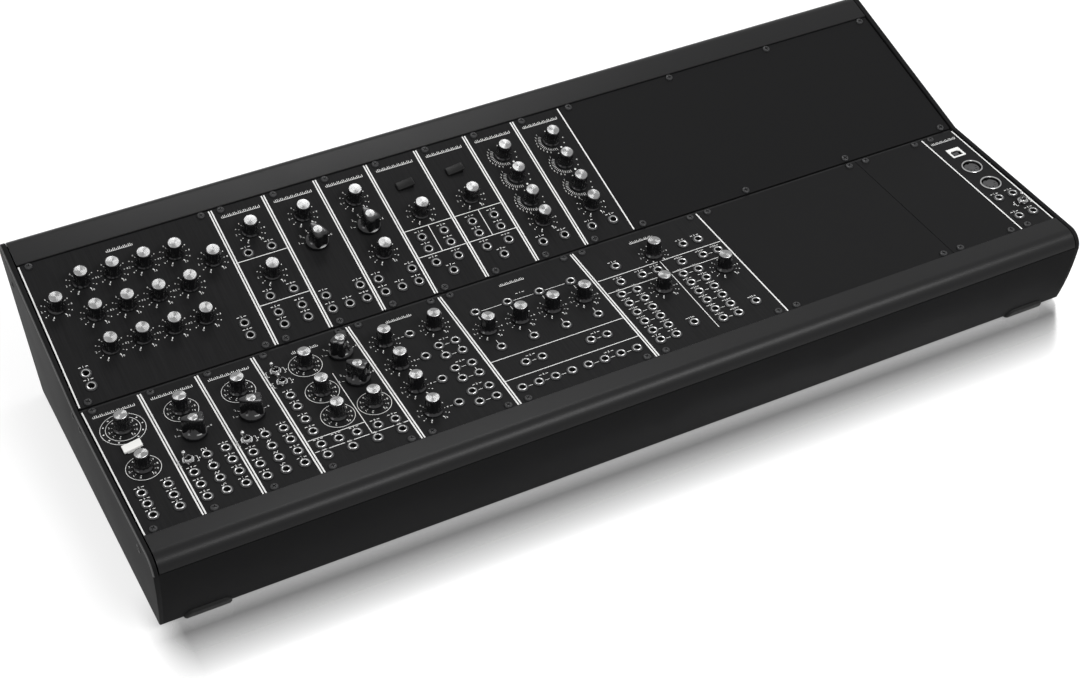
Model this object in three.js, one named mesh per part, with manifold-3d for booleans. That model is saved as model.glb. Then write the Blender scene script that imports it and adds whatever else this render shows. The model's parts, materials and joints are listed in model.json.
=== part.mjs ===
// Two-row desktop modular synthesizer: a folded steel case with three rails, nineteen
// front panels, jack sockets, turning knobs, rocker and toggle switches.
// Millimetres, +X along the rows, +Y to the back, +Z up; the origin is on the table,
// under the middle of the case.
import * as THREE from 'three';
import { mergeVertices } from 'three/addons/utils/BufferGeometryUtils.js';
import Module from 'manifold-3d';

const wasm = await Module();
wasm.setup();

// Rack standard
const UNIT = 5.08;                // one width unit of a panel
const ROW_UNITS = 140;            // width units in a row
const PANEL_HEIGHT = 128.5;
const PANEL_THICKNESS = 2;
const PANEL_GAP = 0.3;            // between two panels of a row
const SEAT_GAP = 0.3;             // between pieces that rest on each other
const OVERRUN = 3;                // how far a cutting body runs past what it cuts
const JOIN = 0.8;                 // how far joined bodies reach into each other

// Case
const ROW_WIDTH = ROW_UNITS * UNIT;
const ROW_TILT = THREE.MathUtils.degToRad(15.2);
const ROW_SPACE = 2.8;            // between the lower and the upper panels
const ROW_RISE = 0.45;            // the upper row starts this much higher
const CASE_HEIGHT = 66.5;         // underside of the base to the lower panels' faces
const RIM_RISE = 1.2;             // rims and lips stand this much above the panels
const SIDE_GAP = 0.8;             // dark joint between the rows and the end walls
const WALL = 3.7;                 // end wall at the rim
const WALL_DRAFT = THREE.MathUtils.degToRad(1.1);
const SHEET = 2;                  // base, front and rear sheet
const RIM_ROUND = 1.8;
const NOSE_RADIUS = 12;
const FRONT_REACH = 26.7;         // panel edge to the foremost point of the nose
const BOW_RADIUS = 233;           // the slightly bowed front face
const BOW_START = THREE.MathUtils.degToRad(4.5);
const BASE_ROUND = 3;
const REAR_REACH = 35.6;          // upper panel edge to the rear corner before rounding
const REAR_LEAN = THREE.MathUtils.degToRad(25);
const REAR_ROUND = 8;
const REAR_BASE_ROUND = 5;

// Rails with their lips
const LIP_SKIN = 2.5;
const LIP_SEAM = THREE.MathUtils.degToRad(82);   // nose angle covered by the front lip
const SEAM_ANGLE = THREE.MathUtils.degToRad(2.4);
const REAR_LIP_DROP = 32;         // rear corner down to the rear lip's lower edge
const SEAM = 0.5;
const EDGE_GAP = 0.4;             // panel edge to the lip beside it
const LEDGE = 7;                  // how far a rail reaches under a panel
const RAIL_DEPTH = 6;
const RIB = 1.6;
const RIB_DROP = 0.6;             // top of the middle rib below the panel faces

// Feet
const FOOT_WIDTH = 33;
const FOOT_INSET = 13;            // end wall to the foot
const FOOT_PROUD = 2;
const FOOT_CLIMB = 7;             // up the front face
const FOOT_RUN = 26;              // back along the base
const FOOT_ROUND = 6;

// Modules
const BLOCK_DEPTH = 22;           // circuit boards and parts behind a panel
const BLOCK_SIDE = 1.5;           // panel side to the boards
const BLOCK_END = 9;              // panel end to the boards
const JACK_RADIUS = 4.2;
const JACK_RISE = 1.5;
const JACK_BORE = 1.9;
const JACK_DEPTH = 8;

// Small knob
const KNOB_LIFT = 0.5;            // running gap over the panel
const SKIRT_RADIUS = 6.7;
const SKIRT_HEIGHT = 1.8;
const KNOB_RADIUS = 5.5;
const FLUTE_DEPTH = 0.6;
const KNOB_HEIGHT = 13.3;
const FLUTES = 5;
const SHAFT_RADIUS = 3;
const SHAFT_CLEARANCE = 0.7;
const SHAFT_DEPTH = 7;

// Pointer knob of the stepped selectors
const POINTER_SKIRT = 8.6;
const POINTER_SKIRT_WALL = 2.6;
const POINTER_SKIRT_TOP = 4.4;
const POINTER_SHOULDER = 6.4;
const POINTER_HEIGHT = 15.1;
const POINTER_RADIUS = 8.2;
const POINTER_CAP = 3.4;
const POINTER_CAP_RISE = 0.5;
const SELECTOR_STEP = THREE.MathUtils.degToRad(30);

// Rocker switch
const ROCKER_LENGTH = 13.2;
const ROCKER_WIDTH = 7;
const ROCKER_TOP = 3.1;
const ROCKER_SLAB = 1.6;
const ROCKER_STEM = 9;
const ROCKER_FOOT = 4;            // stem below the panel face
const ROCKER_PIVOT = 1;           // pivot below the panel face
const ROCKER_TILT = THREE.MathUtils.degToRad(9);
const ROCKER_PLAY = 0.8;

// Toggle switch
const NUT_RADIUS = 4.4;
const NUT_RISE = 1.8;
const BUSHING_RADIUS = 3;
const BUSHING_RISE = 3.4;
const BUSHING_BORE = 2.4;
const BUSHING_DEPTH = 5;
const LEVER_FOOT = 3.5;           // lever end below the panel face
const LEVER_ROOT = 1;
const LEVER_TIP = 1.45;
const LEVER_REACH = 10.6;
const LEVER_TILT = THREE.MathUtils.degToRad(15);

// Round and square sockets
const DIN_FLANGE = 8.2;
const DIN_FLANGE_RISE = 0.8;
const DIN_SHELL = 6.9;
const DIN_CORE = 5.8;
const DIN_CORE_DROP = 0.8;
const DIN_DEPTH = 6;
const USB_WIDTH = 8.5;
const USB_HEIGHT = 7.8;
const USB_FLANGE = 1.6;
const USB_FLANGE_RISE = 0.4;
const TONGUE_WIDTH = 5.6;
const TONGUE_HEIGHT = 3.2;

// Power pieces
const PLATE_LENGTH = 64;
const PLATE_WIDTH = 26;
const PLATE_CORNER = 3;
const PLATE_BODY_INSET = 3;
const PLATE_BODY_DEPTH = 14;
const PLATE_FROM_END = 60;        // row end to the plate
const PLATE_DROP = 62;            // rear corner down to the plate's middle
const POWER_PART_OFFSET = 16;     // plate middle to the socket and to the switch
const INLET_RADIUS = 5.2;
const INLET_BORE = 3;
const INLET_PIN = 1;
const BOARD_LENGTH = 480;
const BOARD_WIDTH = 46;
const BOARD_THICKNESS = 1.6;
const BOARD_STANDOFF = 5;
const BOARD_Y = 112;              // row front edge to the board's front edge
const STANDOFF_RADIUS = 3;
const HEADERS = 12;
const HEADER_LENGTH = 8;
const HEADER_WIDTH = 26;
const HEADER_HEIGHT = 9;

// Panel layout: rows are shares of a panel's height, counted from its lower edge, and
// columns and spreads are width units
const TOP_KNOB_SHARE = 0.779;
const KNOB_PITCH_SHARE = 0.2054;
const LOW_JACK_SHARE = 0.1128;
const JACK_PITCH_SHARE = 0.086;
const WIDE_PITCH_SHARE = 0.0953;
const COLUMN_UNITS = 2.5;
const PAIR_UNITS = 1.75;
const TRIO_UNITS = 2.58;
const BANK_COLUMN_UNITS = 4.5;
const BANK_PITCH_SHARE = 0.235;
const COUPLER_LOW_KNOB_SHARE = 0.46;
const COUPLER_JACK_DROP_SHARE = 0.1432;
const AMPLIFIER_ROCKER_SHARE = 0.772;
const AMPLIFIER_KNOB_SHARE = 0.5572;
const AMPLIFIER_JACK_SHARES = [0.3907, 0.3004, 0.1977];
const ENVELOPE_SHARES = [0.5977, 0.4148, 0.2553];
const DRIVER_LOW_KNOB_SHARE = 0.4584;
const TOGGLE_UNITS = 1.476;
const DUAL_KNOB_SHARES = [0.8054, 0.5728, 0.3642];
const DUAL_SMALL_UNITS = 5.846;
const DUAL_LARGE_UNITS = 11.063;
const DUAL_TOGGLE_SHARES = [0.8241, 0.73];
const DUAL_EDGE_UNITS = 1.75;
const DUAL_EDGE_SHARES = [0.6148, 0.5191, 0.4093, 0.3082];
const DUAL_LOW_COLUMN_UNITS = [1.75, 4.23, 6.75, 9.74, 12.22];
const DUAL_BOTTOM_UNITS = 3.5;
const MIXER_KNOB_UNITS = 3.25;
const MIXER_PAIR_UNITS = 9.49;
const QUAD_SPREAD_SHARE = 0.0447;
const ATTENUATOR_UNITS = 5;
const ATTENUATOR_PAIR_COLUMN_UNITS = [4.49, 14.49];
const INTERFACE_HALF_UNITS = 10;
const INTERFACE_COLUMN_UNITS = 1.95;
const INTERFACE_PAIR_UNITS = 6.69;
const INTERFACE_INPUT_SHARE = 0.6412;
const INTERFACE_KNOB_SHARE = 0.4872;
const INTERFACE_TOP_COLUMN_UNITS = [4.27, 15.41, 17.92];
const INTERFACE_ROWS = 6;
const MIDI_USB_SHARE = 0.7984;
const MIDI_DIN_SHARES = [0.635, 0.4506];
const MIDI_JACK_UNITS = 1.26;
const MIDI_UPPER_JACK_SHARE = 0.3058;
const MIDI_TOGGLE_UNITS = 4.33;
const MIDI_TOGGLE_SHARE = 0.2148;

// Facets
const NOSE_STEPS = 7;
const BOW_STEPS = 4;
const CORNER_STEPS = 4;
const JACK_SIDES = 6;
const BORE_SIDES = 5;
const BUSHING_SIDES = 8;
const SKIRT_SIDES = 9;
const DIN_SIDES = 12;

const paint = (color, roughness, metalness) => () =>
  new THREE.MeshStandardMaterial({ color, roughness, metalness });
const caseBlack = paint(0x1d1d1e, 0.55, 0.3);
const railBlack = paint(0x242425, 0.5, 0.4);
const panelBlack = paint(0x161617, 0.6, 0.4);
const knobBlack = paint(0x0c0c0d, 0.35, 0);
const whitePlastic = paint(0xe8e8e6, 0.4, 0);
const leverMetal = paint(0xc8c8c8, 0.25, 1);
const boardGreen = paint(0x1f4a2c, 0.6, 0);
const inletBlack = paint(0x121213, 0.5, 0);

// A closed geometry with its shared corners merged, as a solid
function toSolid(geometry) {
  const bare = geometry.clone();
  bare.deleteAttribute('normal');
  bare.deleteAttribute('uv');
  const merged = mergeVertices(bare);
  return new wasm.Manifold(new wasm.Mesh({
    numProp: 3,
    vertProperties: new Float32Array(merged.attributes.position.array),
    triVerts: new Uint32Array(merged.index.array),
  }));
}

// A solid's surface as a geometry
function toGeometry(solid) {
  const { vertProperties, triVerts } = solid.getMesh();
  const geometry = new THREE.BufferGeometry();
  geometry.setAttribute('position', new THREE.BufferAttribute(vertProperties, 3));
  geometry.setIndex(new THREE.BufferAttribute(triVerts, 1));
  geometry.computeVertexNormals();
  return geometry;
}

const join = (solids) => solids.reduce((whole, next) => whole.add(next));
const cut = (solid, tools) => tools.reduce((rest, tool) => rest.subtract(tool), solid);

const shapeOf = (points) => new THREE.Shape(points.map(([a, b]) => new THREE.Vector2(a, b)));

// An outline in X and Y, drawn up from one height to another
function prism(points, bottom, top) {
  const geometry = new THREE.ExtrudeGeometry(shapeOf(points), {
    depth: top - bottom, bevelEnabled: false,
  });
  return toSolid(geometry.translate(0, 0, bottom));
}

// Turns a body drawn along Z so that its outline lies in Y and Z and its length in X
const ALONG_X = new THREE.Matrix4().makeBasis(
  new THREE.Vector3(0, 1, 0), new THREE.Vector3(0, 0, 1), new THREE.Vector3(1, 0, 0));

// An outline in Y and Z, drawn along X
function bar(points, from, to) {
  const geometry = new THREE.ExtrudeGeometry(shapeOf(points), {
    depth: to - from, bevelEnabled: false,
  });
  return toSolid(geometry.translate(0, 0, from).applyMatrix4(ALONG_X));
}

const ring = (sides, radius, turn = 0) => Array.from({ length: sides }, (_, k) => {
  const angle = turn + 2 * Math.PI * k / sides;
  return [radius * Math.cos(angle), radius * Math.sin(angle)];
});
const shift = (points, [x, y]) => points.map(([a, b]) => [a + x, b + y]);
const rectangle = (width, height) => [
  [-width / 2, -height / 2], [width / 2, -height / 2],
  [width / 2, height / 2], [-width / 2, height / 2]];
const post = (sides, radius, centre, bottom, top) =>
  prism(shift(ring(sides, radius, Math.PI / sides), centre), bottom, top);
const block = (width, height, centre, bottom, top) =>
  prism(shift(rectangle(width, height), centre), bottom, top);

const arc = ([cy, cz], radius, from, to, steps) => Array.from({ length: steps + 1 }, (_, k) => {
  const angle = from + (to - from) * k / steps;
  return [cy + radius * Math.cos(angle), cz + radius * Math.sin(angle)];
});

// Replaces a corner between two points by an arc that touches both sides
function rounded(before, corner, after, radius, steps) {
  const [b, c, a] = [before, corner, after].map(([y, z]) => new THREE.Vector2(y, z));
  const towardsB = b.clone().sub(c).normalize();
  const towardsA = a.clone().sub(c).normalize();
  const half = Math.acos(THREE.MathUtils.clamp(towardsB.dot(towardsA), -1, 1)) / 2;
  const centre = towardsB.clone().add(towardsA).normalize()
    .multiplyScalar(radius / Math.sin(half)).add(c);
  const start = towardsB.multiplyScalar(radius / Math.tan(half)).add(c).sub(centre);
  const end = towardsA.multiplyScalar(radius / Math.tan(half)).add(c).sub(centre);
  const turn = Math.atan2(start.cross(end), start.dot(end));
  return arc([centre.x, centre.y], radius, start.angle(), start.angle() + turn, steps);
}

// Where two lines cross, each given by a point and a direction
function crossing([ay, az], [aDy, aDz], [by, bz], [bDy, bDz]) {
  const along = ((by - ay) * bDz - (bz - az) * bDy) / (aDy * bDz - aDz * bDy);
  return [ay + along * aDy, az + along * aDz];
}

// The side view of the case. An inset moves a line into the case.
const UPPER_ORIGIN = [PANEL_HEIGHT + ROW_SPACE, ROW_RISE];
const SLOPE = [Math.cos(ROW_TILT), Math.sin(ROW_TILT)];
const upper = (v, n) => [
  UPPER_ORIGIN[0] + v * SLOPE[0] - n * SLOPE[1],
  UPPER_ORIGIN[1] + v * SLOPE[1] + n * SLOPE[0]];
const REAR_DOWN = [-Math.sin(REAR_LEAN), -Math.cos(REAR_LEAN)];
const REAR_OUT = [Math.cos(REAR_LEAN), -Math.sin(REAR_LEAN)];
const REAR_CORNER = upper(PANEL_HEIGHT + REAR_REACH, RIM_RISE);
const rearPoint = (drop, inset) => [
  REAR_CORNER[0] + drop * REAR_DOWN[0] - inset * REAR_OUT[0],
  REAR_CORNER[1] + drop * REAR_DOWN[1] - inset * REAR_OUT[1]];
const rearCorner = (inset) =>
  crossing(upper(0, RIM_RISE - inset), SLOPE, rearPoint(0, inset), REAR_DOWN);
const baseRear = (inset) =>
  crossing([0, inset - CASE_HEIGHT], [1, 0], rearPoint(0, inset), REAR_DOWN);
const RIM_KINK = crossing([0, RIM_RISE], [1, 0], upper(0, RIM_RISE), SLOPE);

const NOSE_CENTRE = [NOSE_RADIUS - FRONT_REACH, RIM_RISE - NOSE_RADIUS];
const BOW_ANGLE = Math.PI + BOW_START;
const BOW_CENTRE = [
  NOSE_CENTRE[0] + (NOSE_RADIUS - BOW_RADIUS) * Math.cos(BOW_ANGLE),
  NOSE_CENTRE[1] + (NOSE_RADIUS - BOW_RADIUS) * Math.sin(BOW_ANGLE)];
const nose = (inset, from, to, steps) =>
  arc(NOSE_CENTRE, NOSE_RADIUS - inset, Math.PI / 2 + from, Math.PI / 2 + to, steps);
const bowAngleAt = (height, inset) =>
  Math.PI - Math.asin((height - BOW_CENTRE[1]) / (BOW_RADIUS - inset));
const bow = (inset, fromAngle, bottom, steps) =>
  arc(BOW_CENTRE, BOW_RADIUS - inset, fromAngle, bowAngleAt(bottom, inset), steps);

// The bowed front face down to the base, with its rounded lower edge
function frontFace(inset, round) {
  const face = bow(inset, BOW_ANGLE, inset - CASE_HEIGHT, BOW_STEPS);
  const corner = face.pop();
  return [...face, ...rounded(face.at(-1), corner, baseRear(inset), round, 2)];
}

function caseOutline() {
  const base = frontFace(0, BASE_ROUND);
  return [
    ...nose(0, 0, Math.PI / 2 + BOW_START, NOSE_STEPS).slice(0, -1),
    ...base,
    ...rounded(base.at(-1), baseRear(0), REAR_CORNER, REAR_BASE_ROUND, 2),
    ...rounded(baseRear(0), REAR_CORNER, RIM_KINK, REAR_ROUND, CORNER_STEPS),
    RIM_KINK];
}

// What is cut out between the end walls: the inside, and the top over both seams
function cavityOutline() {
  const seam = LIP_SEAM + SEAM_ANGLE;
  const base = frontFace(SHEET, BASE_ROUND - SHEET / 2);
  const top = REAR_CORNER[1] + OVERRUN;
  return [
    nose(-OVERRUN, seam, seam, 1)[0],
    ...nose(SHEET, seam, Math.PI / 2 + BOW_START, 2).slice(0, -1),
    ...base,
    ...rounded(base.at(-1), baseRear(SHEET), rearCorner(SHEET), REAR_BASE_ROUND - SHEET, 2),
    rearPoint(REAR_LIP_DROP + SEAM, SHEET),
    rearPoint(REAR_LIP_DROP + SEAM, -OVERRUN),
    [REAR_CORNER[0] + OVERRUN, top],
    [-FRONT_REACH - OVERRUN, top]];
}

// The base, front, rear and end walls as one body with rounded rims
function tub() {
  const half = ROW_WIDTH / 2 + SIDE_GAP + WALL;
  const geometry = new THREE.ExtrudeGeometry(shapeOf(caseOutline()), {
    depth: 2 * (half - RIM_ROUND), bevelEnabled: true, bevelThickness: RIM_ROUND,
    bevelSize: RIM_ROUND, bevelOffset: -RIM_ROUND, bevelSegments: 2,
  });
  geometry.translate(0, 0, RIM_ROUND - half).applyMatrix4(ALONG_X);
  const corners = geometry.attributes.position;
  for (let k = 0; k < corners.count; k += 1) {
    const lean = (corners.getZ(k) - RIM_RISE) * Math.tan(WALL_DRAFT) / half;
    corners.setX(k, corners.getX(k) * (1 + lean));
  }
  const outside = toSolid(geometry.translate(ROW_WIDTH / 2, 0, 0));
  const inside = bar(cavityOutline(), -SIDE_GAP, ROW_WIDTH + SIDE_GAP);
  const cutout = powerPlace(block(PLATE_LENGTH - 2 * PLATE_BODY_INSET + 2 * SEAT_GAP,
    PLATE_WIDTH - 2 * PLATE_BODY_INSET + 2 * SEAT_GAP, [0, 0], -SHEET - OVERRUN, OVERRUN));
  return join([cut(outside, [inside, cutout]), ...feet()]);
}

// A foot wraps the lower front or rear edge and has rounded upper corners
function foot(outline, left, top) {
  const strip = bar(outline, left, left + FOOT_WIDTH);
  const floor = -CASE_HEIGHT - FOOT_PROUD - OVERRUN;
  const front = [
    [left, floor], [left + FOOT_WIDTH, floor],
    ...rounded([left + FOOT_WIDTH, floor], [left + FOOT_WIDTH, top], [left, top], FOOT_ROUND, 3),
    ...rounded([left + FOOT_WIDTH, top], [left, top], [left, floor], FOOT_ROUND, 3)];
  const depth = REAR_CORNER[0] + FRONT_REACH + 2 * OVERRUN;
  const mask = new THREE.ExtrudeGeometry(shapeOf(front), { depth, bevelEnabled: false });
  mask.rotateX(Math.PI / 2).translate(0, REAR_CORNER[0] + OVERRUN, 0);
  return strip.intersect(toSolid(mask));
}

function feet() {
  const top = FOOT_CLIMB - CASE_HEIGHT;
  const faceAt = (height, inset) => {
    const angle = bowAngleAt(height, inset);
    return [BOW_CENTRE[0] + (BOW_RADIUS - inset) * Math.cos(angle), height];
  };
  const under = -CASE_HEIGHT - FOOT_PROUD;
  const within = JOIN - CASE_HEIGHT;
  const frontToe = faceAt(under, -FOOT_PROUD);
  const front = [
    faceAt(top, JOIN), faceAt(top, -FOOT_PROUD), frontToe,
    [frontToe[0] + FOOT_RUN, under], [frontToe[0] + FOOT_RUN, within],
    faceAt(within, JOIN)];
  const rearAt = (height, inset) =>
    crossing([0, height], [1, 0], rearPoint(0, inset), REAR_DOWN);
  const heel = rearAt(under, -FOOT_PROUD);
  const rear = [
    rearAt(top, JOIN), rearAt(within, JOIN), [heel[0] - FOOT_RUN, within],
    [heel[0] - FOOT_RUN, under], heel, rearAt(top, -FOOT_PROUD)];
  const places = [FOOT_INSET, ROW_WIDTH - FOOT_INSET - FOOT_WIDTH];
  return places.flatMap((left) => [foot(front, left, top), foot(rear, left, top)]);
}

// Front lip: the nose skin and the rail that the lower panels' front edges rest on
function frontRail() {
  const ledge = -PANEL_THICKNESS - SEAT_GAP;
  return bar([
    ...nose(0, 0, LIP_SEAM, NOSE_STEPS),
    ...nose(LIP_SKIN, 0, LIP_SEAM, NOSE_STEPS).reverse(),
    [-EDGE_GAP - LIP_SKIN, RIM_RISE - LIP_SKIN],
    [-EDGE_GAP - LIP_SKIN, ledge - RAIL_DEPTH],
    [LEDGE, ledge - RAIL_DEPTH], [LEDGE, ledge], [-EDGE_GAP, ledge], [-EDGE_GAP, RIM_RISE],
  ], 0, ROW_WIDTH);
}

// Middle rail: a ledge for each row and the thin rib between them
function middleRail() {
  const ledge = -PANEL_THICKNESS - SEAT_GAP;
  const ribFront = PANEL_HEIGHT + (ROW_SPACE - RIB) / 2;
  const kink = crossing([0, ledge - RAIL_DEPTH], [1, 0], upper(0, ledge - RAIL_DEPTH), SLOPE);
  return bar([
    [PANEL_HEIGHT - LEDGE, ledge - RAIL_DEPTH], kink,
    upper(LEDGE, ledge - RAIL_DEPTH), upper(LEDGE, ledge),
    crossing([ribFront + RIB, 0], [0, 1], upper(0, ledge), SLOPE),
    [ribFront + RIB, -RIB_DROP], [ribFront, -RIB_DROP], [ribFront, ledge],
    [PANEL_HEIGHT - LEDGE, ledge],
  ], 0, ROW_WIDTH);
}

// Rear lip: the rail of the upper panels' rear edges and the skin round the rear corner
function rearRail() {
  const ledge = -PANEL_THICKNESS - SEAT_GAP;
  const edge = PANEL_HEIGHT + EDGE_GAP;
  const outer = rounded(upper(edge, RIM_RISE), REAR_CORNER, rearPoint(REAR_LIP_DROP, 0),
    REAR_ROUND, CORNER_STEPS);
  const inner = rounded(upper(edge, RIM_RISE - LIP_SKIN), rearCorner(LIP_SKIN),
    rearPoint(REAR_LIP_DROP, LIP_SKIN), REAR_ROUND - LIP_SKIN, CORNER_STEPS);
  return bar([
    upper(edge, ledge), upper(PANEL_HEIGHT - LEDGE, ledge),
    upper(PANEL_HEIGHT - LEDGE, ledge - RAIL_DEPTH),
    upper(edge + LIP_SKIN, ledge - RAIL_DEPTH), upper(edge + LIP_SKIN, RIM_RISE - LIP_SKIN),
    ...inner, rearPoint(REAR_LIP_DROP, LIP_SKIN),
    rearPoint(REAR_LIP_DROP, 0), ...outer.reverse(), upper(edge, RIM_RISE),
  ], 0, ROW_WIDTH);
}

// Switch and socket bodies, drawn round the origin of a panel face
const alternating = (count, outer, inner) => ring(2 * count, outer)
  .map(([x, y], k) => (k % 2 ? [x * inner / outer, y * inner / outer] : [x, y]));

const knobBody = (bottom) => join([
  post(SKIRT_SIDES, SKIRT_RADIUS, [0, 0], bottom, KNOB_LIFT + SKIRT_HEIGHT),
  prism(alternating(FLUTES, KNOB_RADIUS, KNOB_RADIUS - FLUTE_DEPTH),
    KNOB_LIFT + SKIRT_HEIGHT - JOIN, KNOB_HEIGHT)]);
const shaft = () => post(JACK_SIDES, SHAFT_RADIUS, [0, 0], -SHAFT_DEPTH, KNOB_LIFT + JOIN);
const fixedKnob = () => knobBody(-JOIN);
const turningKnob = () => knobBody(KNOB_LIFT).add(shaft());

// The pointer knob's top view: a narrow pointer, two scooped flanks and a forked tail.
// Each entry is an angle from the pointer and a share of the full radius.
const POINTER_SHARES = [
  [8, 0.98], [32, 0.62], [62, 0.53], [95, 0.56], [128, 0.77], [147, 1], [158, 0.98], [180, 0.8]];

function pointerKnob() {
  const side = POINTER_SHARES.map(([degrees, share]) => {
    const angle = THREE.MathUtils.degToRad(degrees);
    return [POINTER_RADIUS * share * Math.cos(angle), POINTER_RADIUS * share * Math.sin(angle)];
  });
  const mirrored = side.slice(0, -1).reverse().map(([x, y]) => [x, -y]);
  const skirt = [
    [0, KNOB_LIFT], [POINTER_SKIRT, KNOB_LIFT],
    [POINTER_SKIRT, KNOB_LIFT + POINTER_SKIRT_WALL],
    [POINTER_SHOULDER, POINTER_SKIRT_TOP], [0, POINTER_SKIRT_TOP],
  ].map(([r, z]) => new THREE.Vector2(r, z));
  return join([
    toSolid(new THREE.LatheGeometry(skirt, SKIRT_SIDES).rotateX(Math.PI / 2)),
    prism([...side, ...mirrored], KNOB_LIFT + POINTER_SKIRT_WALL, POINTER_HEIGHT),
    post(SKIRT_SIDES, POINTER_CAP, [0, 0], POINTER_HEIGHT - JOIN,
      POINTER_HEIGHT + POINTER_CAP_RISE),
    shaft()]);
}

// A T-shaped slab on a stem, drawn level; its length lies along X
function rocker() {
  const slab = block(ROCKER_LENGTH, ROCKER_WIDTH, [0, 0], ROCKER_TOP - ROCKER_SLAB, ROCKER_TOP);
  return slab.add(block(ROCKER_STEM, ROCKER_WIDTH - ROCKER_PLAY, [0, 0], -ROCKER_FOOT,
    ROCKER_TOP - ROCKER_SLAB + JOIN));
}

function lever() {
  const profile = [
    [0, -LEVER_FOOT], [LEVER_ROOT, -LEVER_FOOT], [LEVER_ROOT, BUSHING_RISE],
    [LEVER_TIP, LEVER_REACH - LEVER_TIP], [LEVER_ROOT, LEVER_REACH], [0, LEVER_REACH],
  ].map(([r, z]) => new THREE.Vector2(r, z));
  return toSolid(new THREE.LatheGeometry(profile, JACK_SIDES).rotateX(Math.PI / 2));
}

const toggleMount = (place) => [
  post(JACK_SIDES, NUT_RADIUS, place, -JOIN, NUT_RISE),
  post(BUSHING_SIDES, BUSHING_RADIUS, place, -JOIN, BUSHING_RISE)];
const toggleBore = (place) =>
  post(BUSHING_SIDES, BUSHING_BORE, place, -BUSHING_DEPTH, BUSHING_RISE + OVERRUN);
const rockerSlot = (place) => block(ROCKER_STEM + 2 * ROCKER_PLAY, ROCKER_WIDTH, place,
  -ROCKER_FOOT - ROCKER_PLAY, OVERRUN);
const shaftBore = (place) =>
  post(JACK_SIDES, SHAFT_RADIUS + SHAFT_CLEARANCE, place, -SHAFT_DEPTH - JOIN, OVERRUN);

function dinCut(place) {
  const well = post(DIN_SIDES, DIN_SHELL, place, -DIN_DEPTH, OVERRUN);
  return well.subtract(post(DIN_SIDES, DIN_CORE, place, -DIN_DEPTH - JOIN, -DIN_CORE_DROP));
}

function usbCut(place) {
  const well = block(USB_WIDTH, USB_HEIGHT, place, -JACK_DEPTH, OVERRUN);
  return well.subtract(block(TONGUE_WIDTH, TONGUE_HEIGHT, place, -JACK_DEPTH - JOIN, -JOIN));
}

// Layout helpers: lists of places on a panel, each a column in width units and a row as a
// share of the panel's height
const knobRow = (k) => TOP_KNOB_SHARE - k * KNOB_PITCH_SHARE;
const jackRow = (k) => LOW_JACK_SHARE + k * JACK_PITCH_SHARE;
const wideRow = (k) => LOW_JACK_SHARE + k * WIDE_PITCH_SHARE;
const grid = (columns, rows) => rows.flatMap((v) => columns.map((u) => [u, v]));
const both = (middle, spread) => [middle - spread, middle + spread];
const count = (n) => Array.from({ length: n }, (_, k) => k);
const halves = (places) => [...places(0), ...places(INTERFACE_HALF_UNITS)];

const NARROW_UNITS = 8;
const narrowMiddle = NARROW_UNITS / 2;
const BANK_UNITS = 28;
const bankColumns = (steps) => steps.map((k) => BANK_UNITS / 2 + k * BANK_COLUMN_UNITS);
const DUAL_UNITS = 14;
const WIDE_UNITS = 21;
const wideMiddle = WIDE_UNITS / 2;
const attenuatorColumns = count(4).map((k) => wideMiddle + (k - 1.5) * ATTENUATOR_UNITS);
const MIDI_UNITS = 6;
const midiMiddle = MIDI_UNITS / 2;

// Every module: its name, its width in units, and what its panel carries
const amplifier = {
  units: NARROW_UNITS,
  rockers: [[narrowMiddle, AMPLIFIER_ROCKER_SHARE]],
  knobs: [[narrowMiddle, AMPLIFIER_KNOB_SHARE]],
  jacks: [
    ...grid(both(narrowMiddle, PAIR_UNITS), AMPLIFIER_JACK_SHARES),
    [narrowMiddle, LOW_JACK_SHARE]],
};
const envelope = {
  units: NARROW_UNITS,
  knobs: grid([narrowMiddle], [TOP_KNOB_SHARE, ...ENVELOPE_SHARES]),
  jacks: grid(both(narrowMiddle, PAIR_UNITS), [LOW_JACK_SHARE]),
};
const selectorJacks = [
  ...grid(both(narrowMiddle, TRIO_UNITS), [wideRow(1), wideRow(0)]),
  [narrowMiddle, wideRow(0)]];
const oscillator = {
  units: NARROW_UNITS,
  knobs: [[narrowMiddle, TOP_KNOB_SHARE]],
  pointers: [[narrowMiddle, knobRow(1)]],
  toggles: [[TOGGLE_UNITS, wideRow(3)]],
  jacks: [
    ...grid([narrowMiddle, narrowMiddle + TRIO_UNITS], count(4).map(wideRow)),
    ...grid([narrowMiddle - TRIO_UNITS], count(3).map(wideRow))],
};

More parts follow.
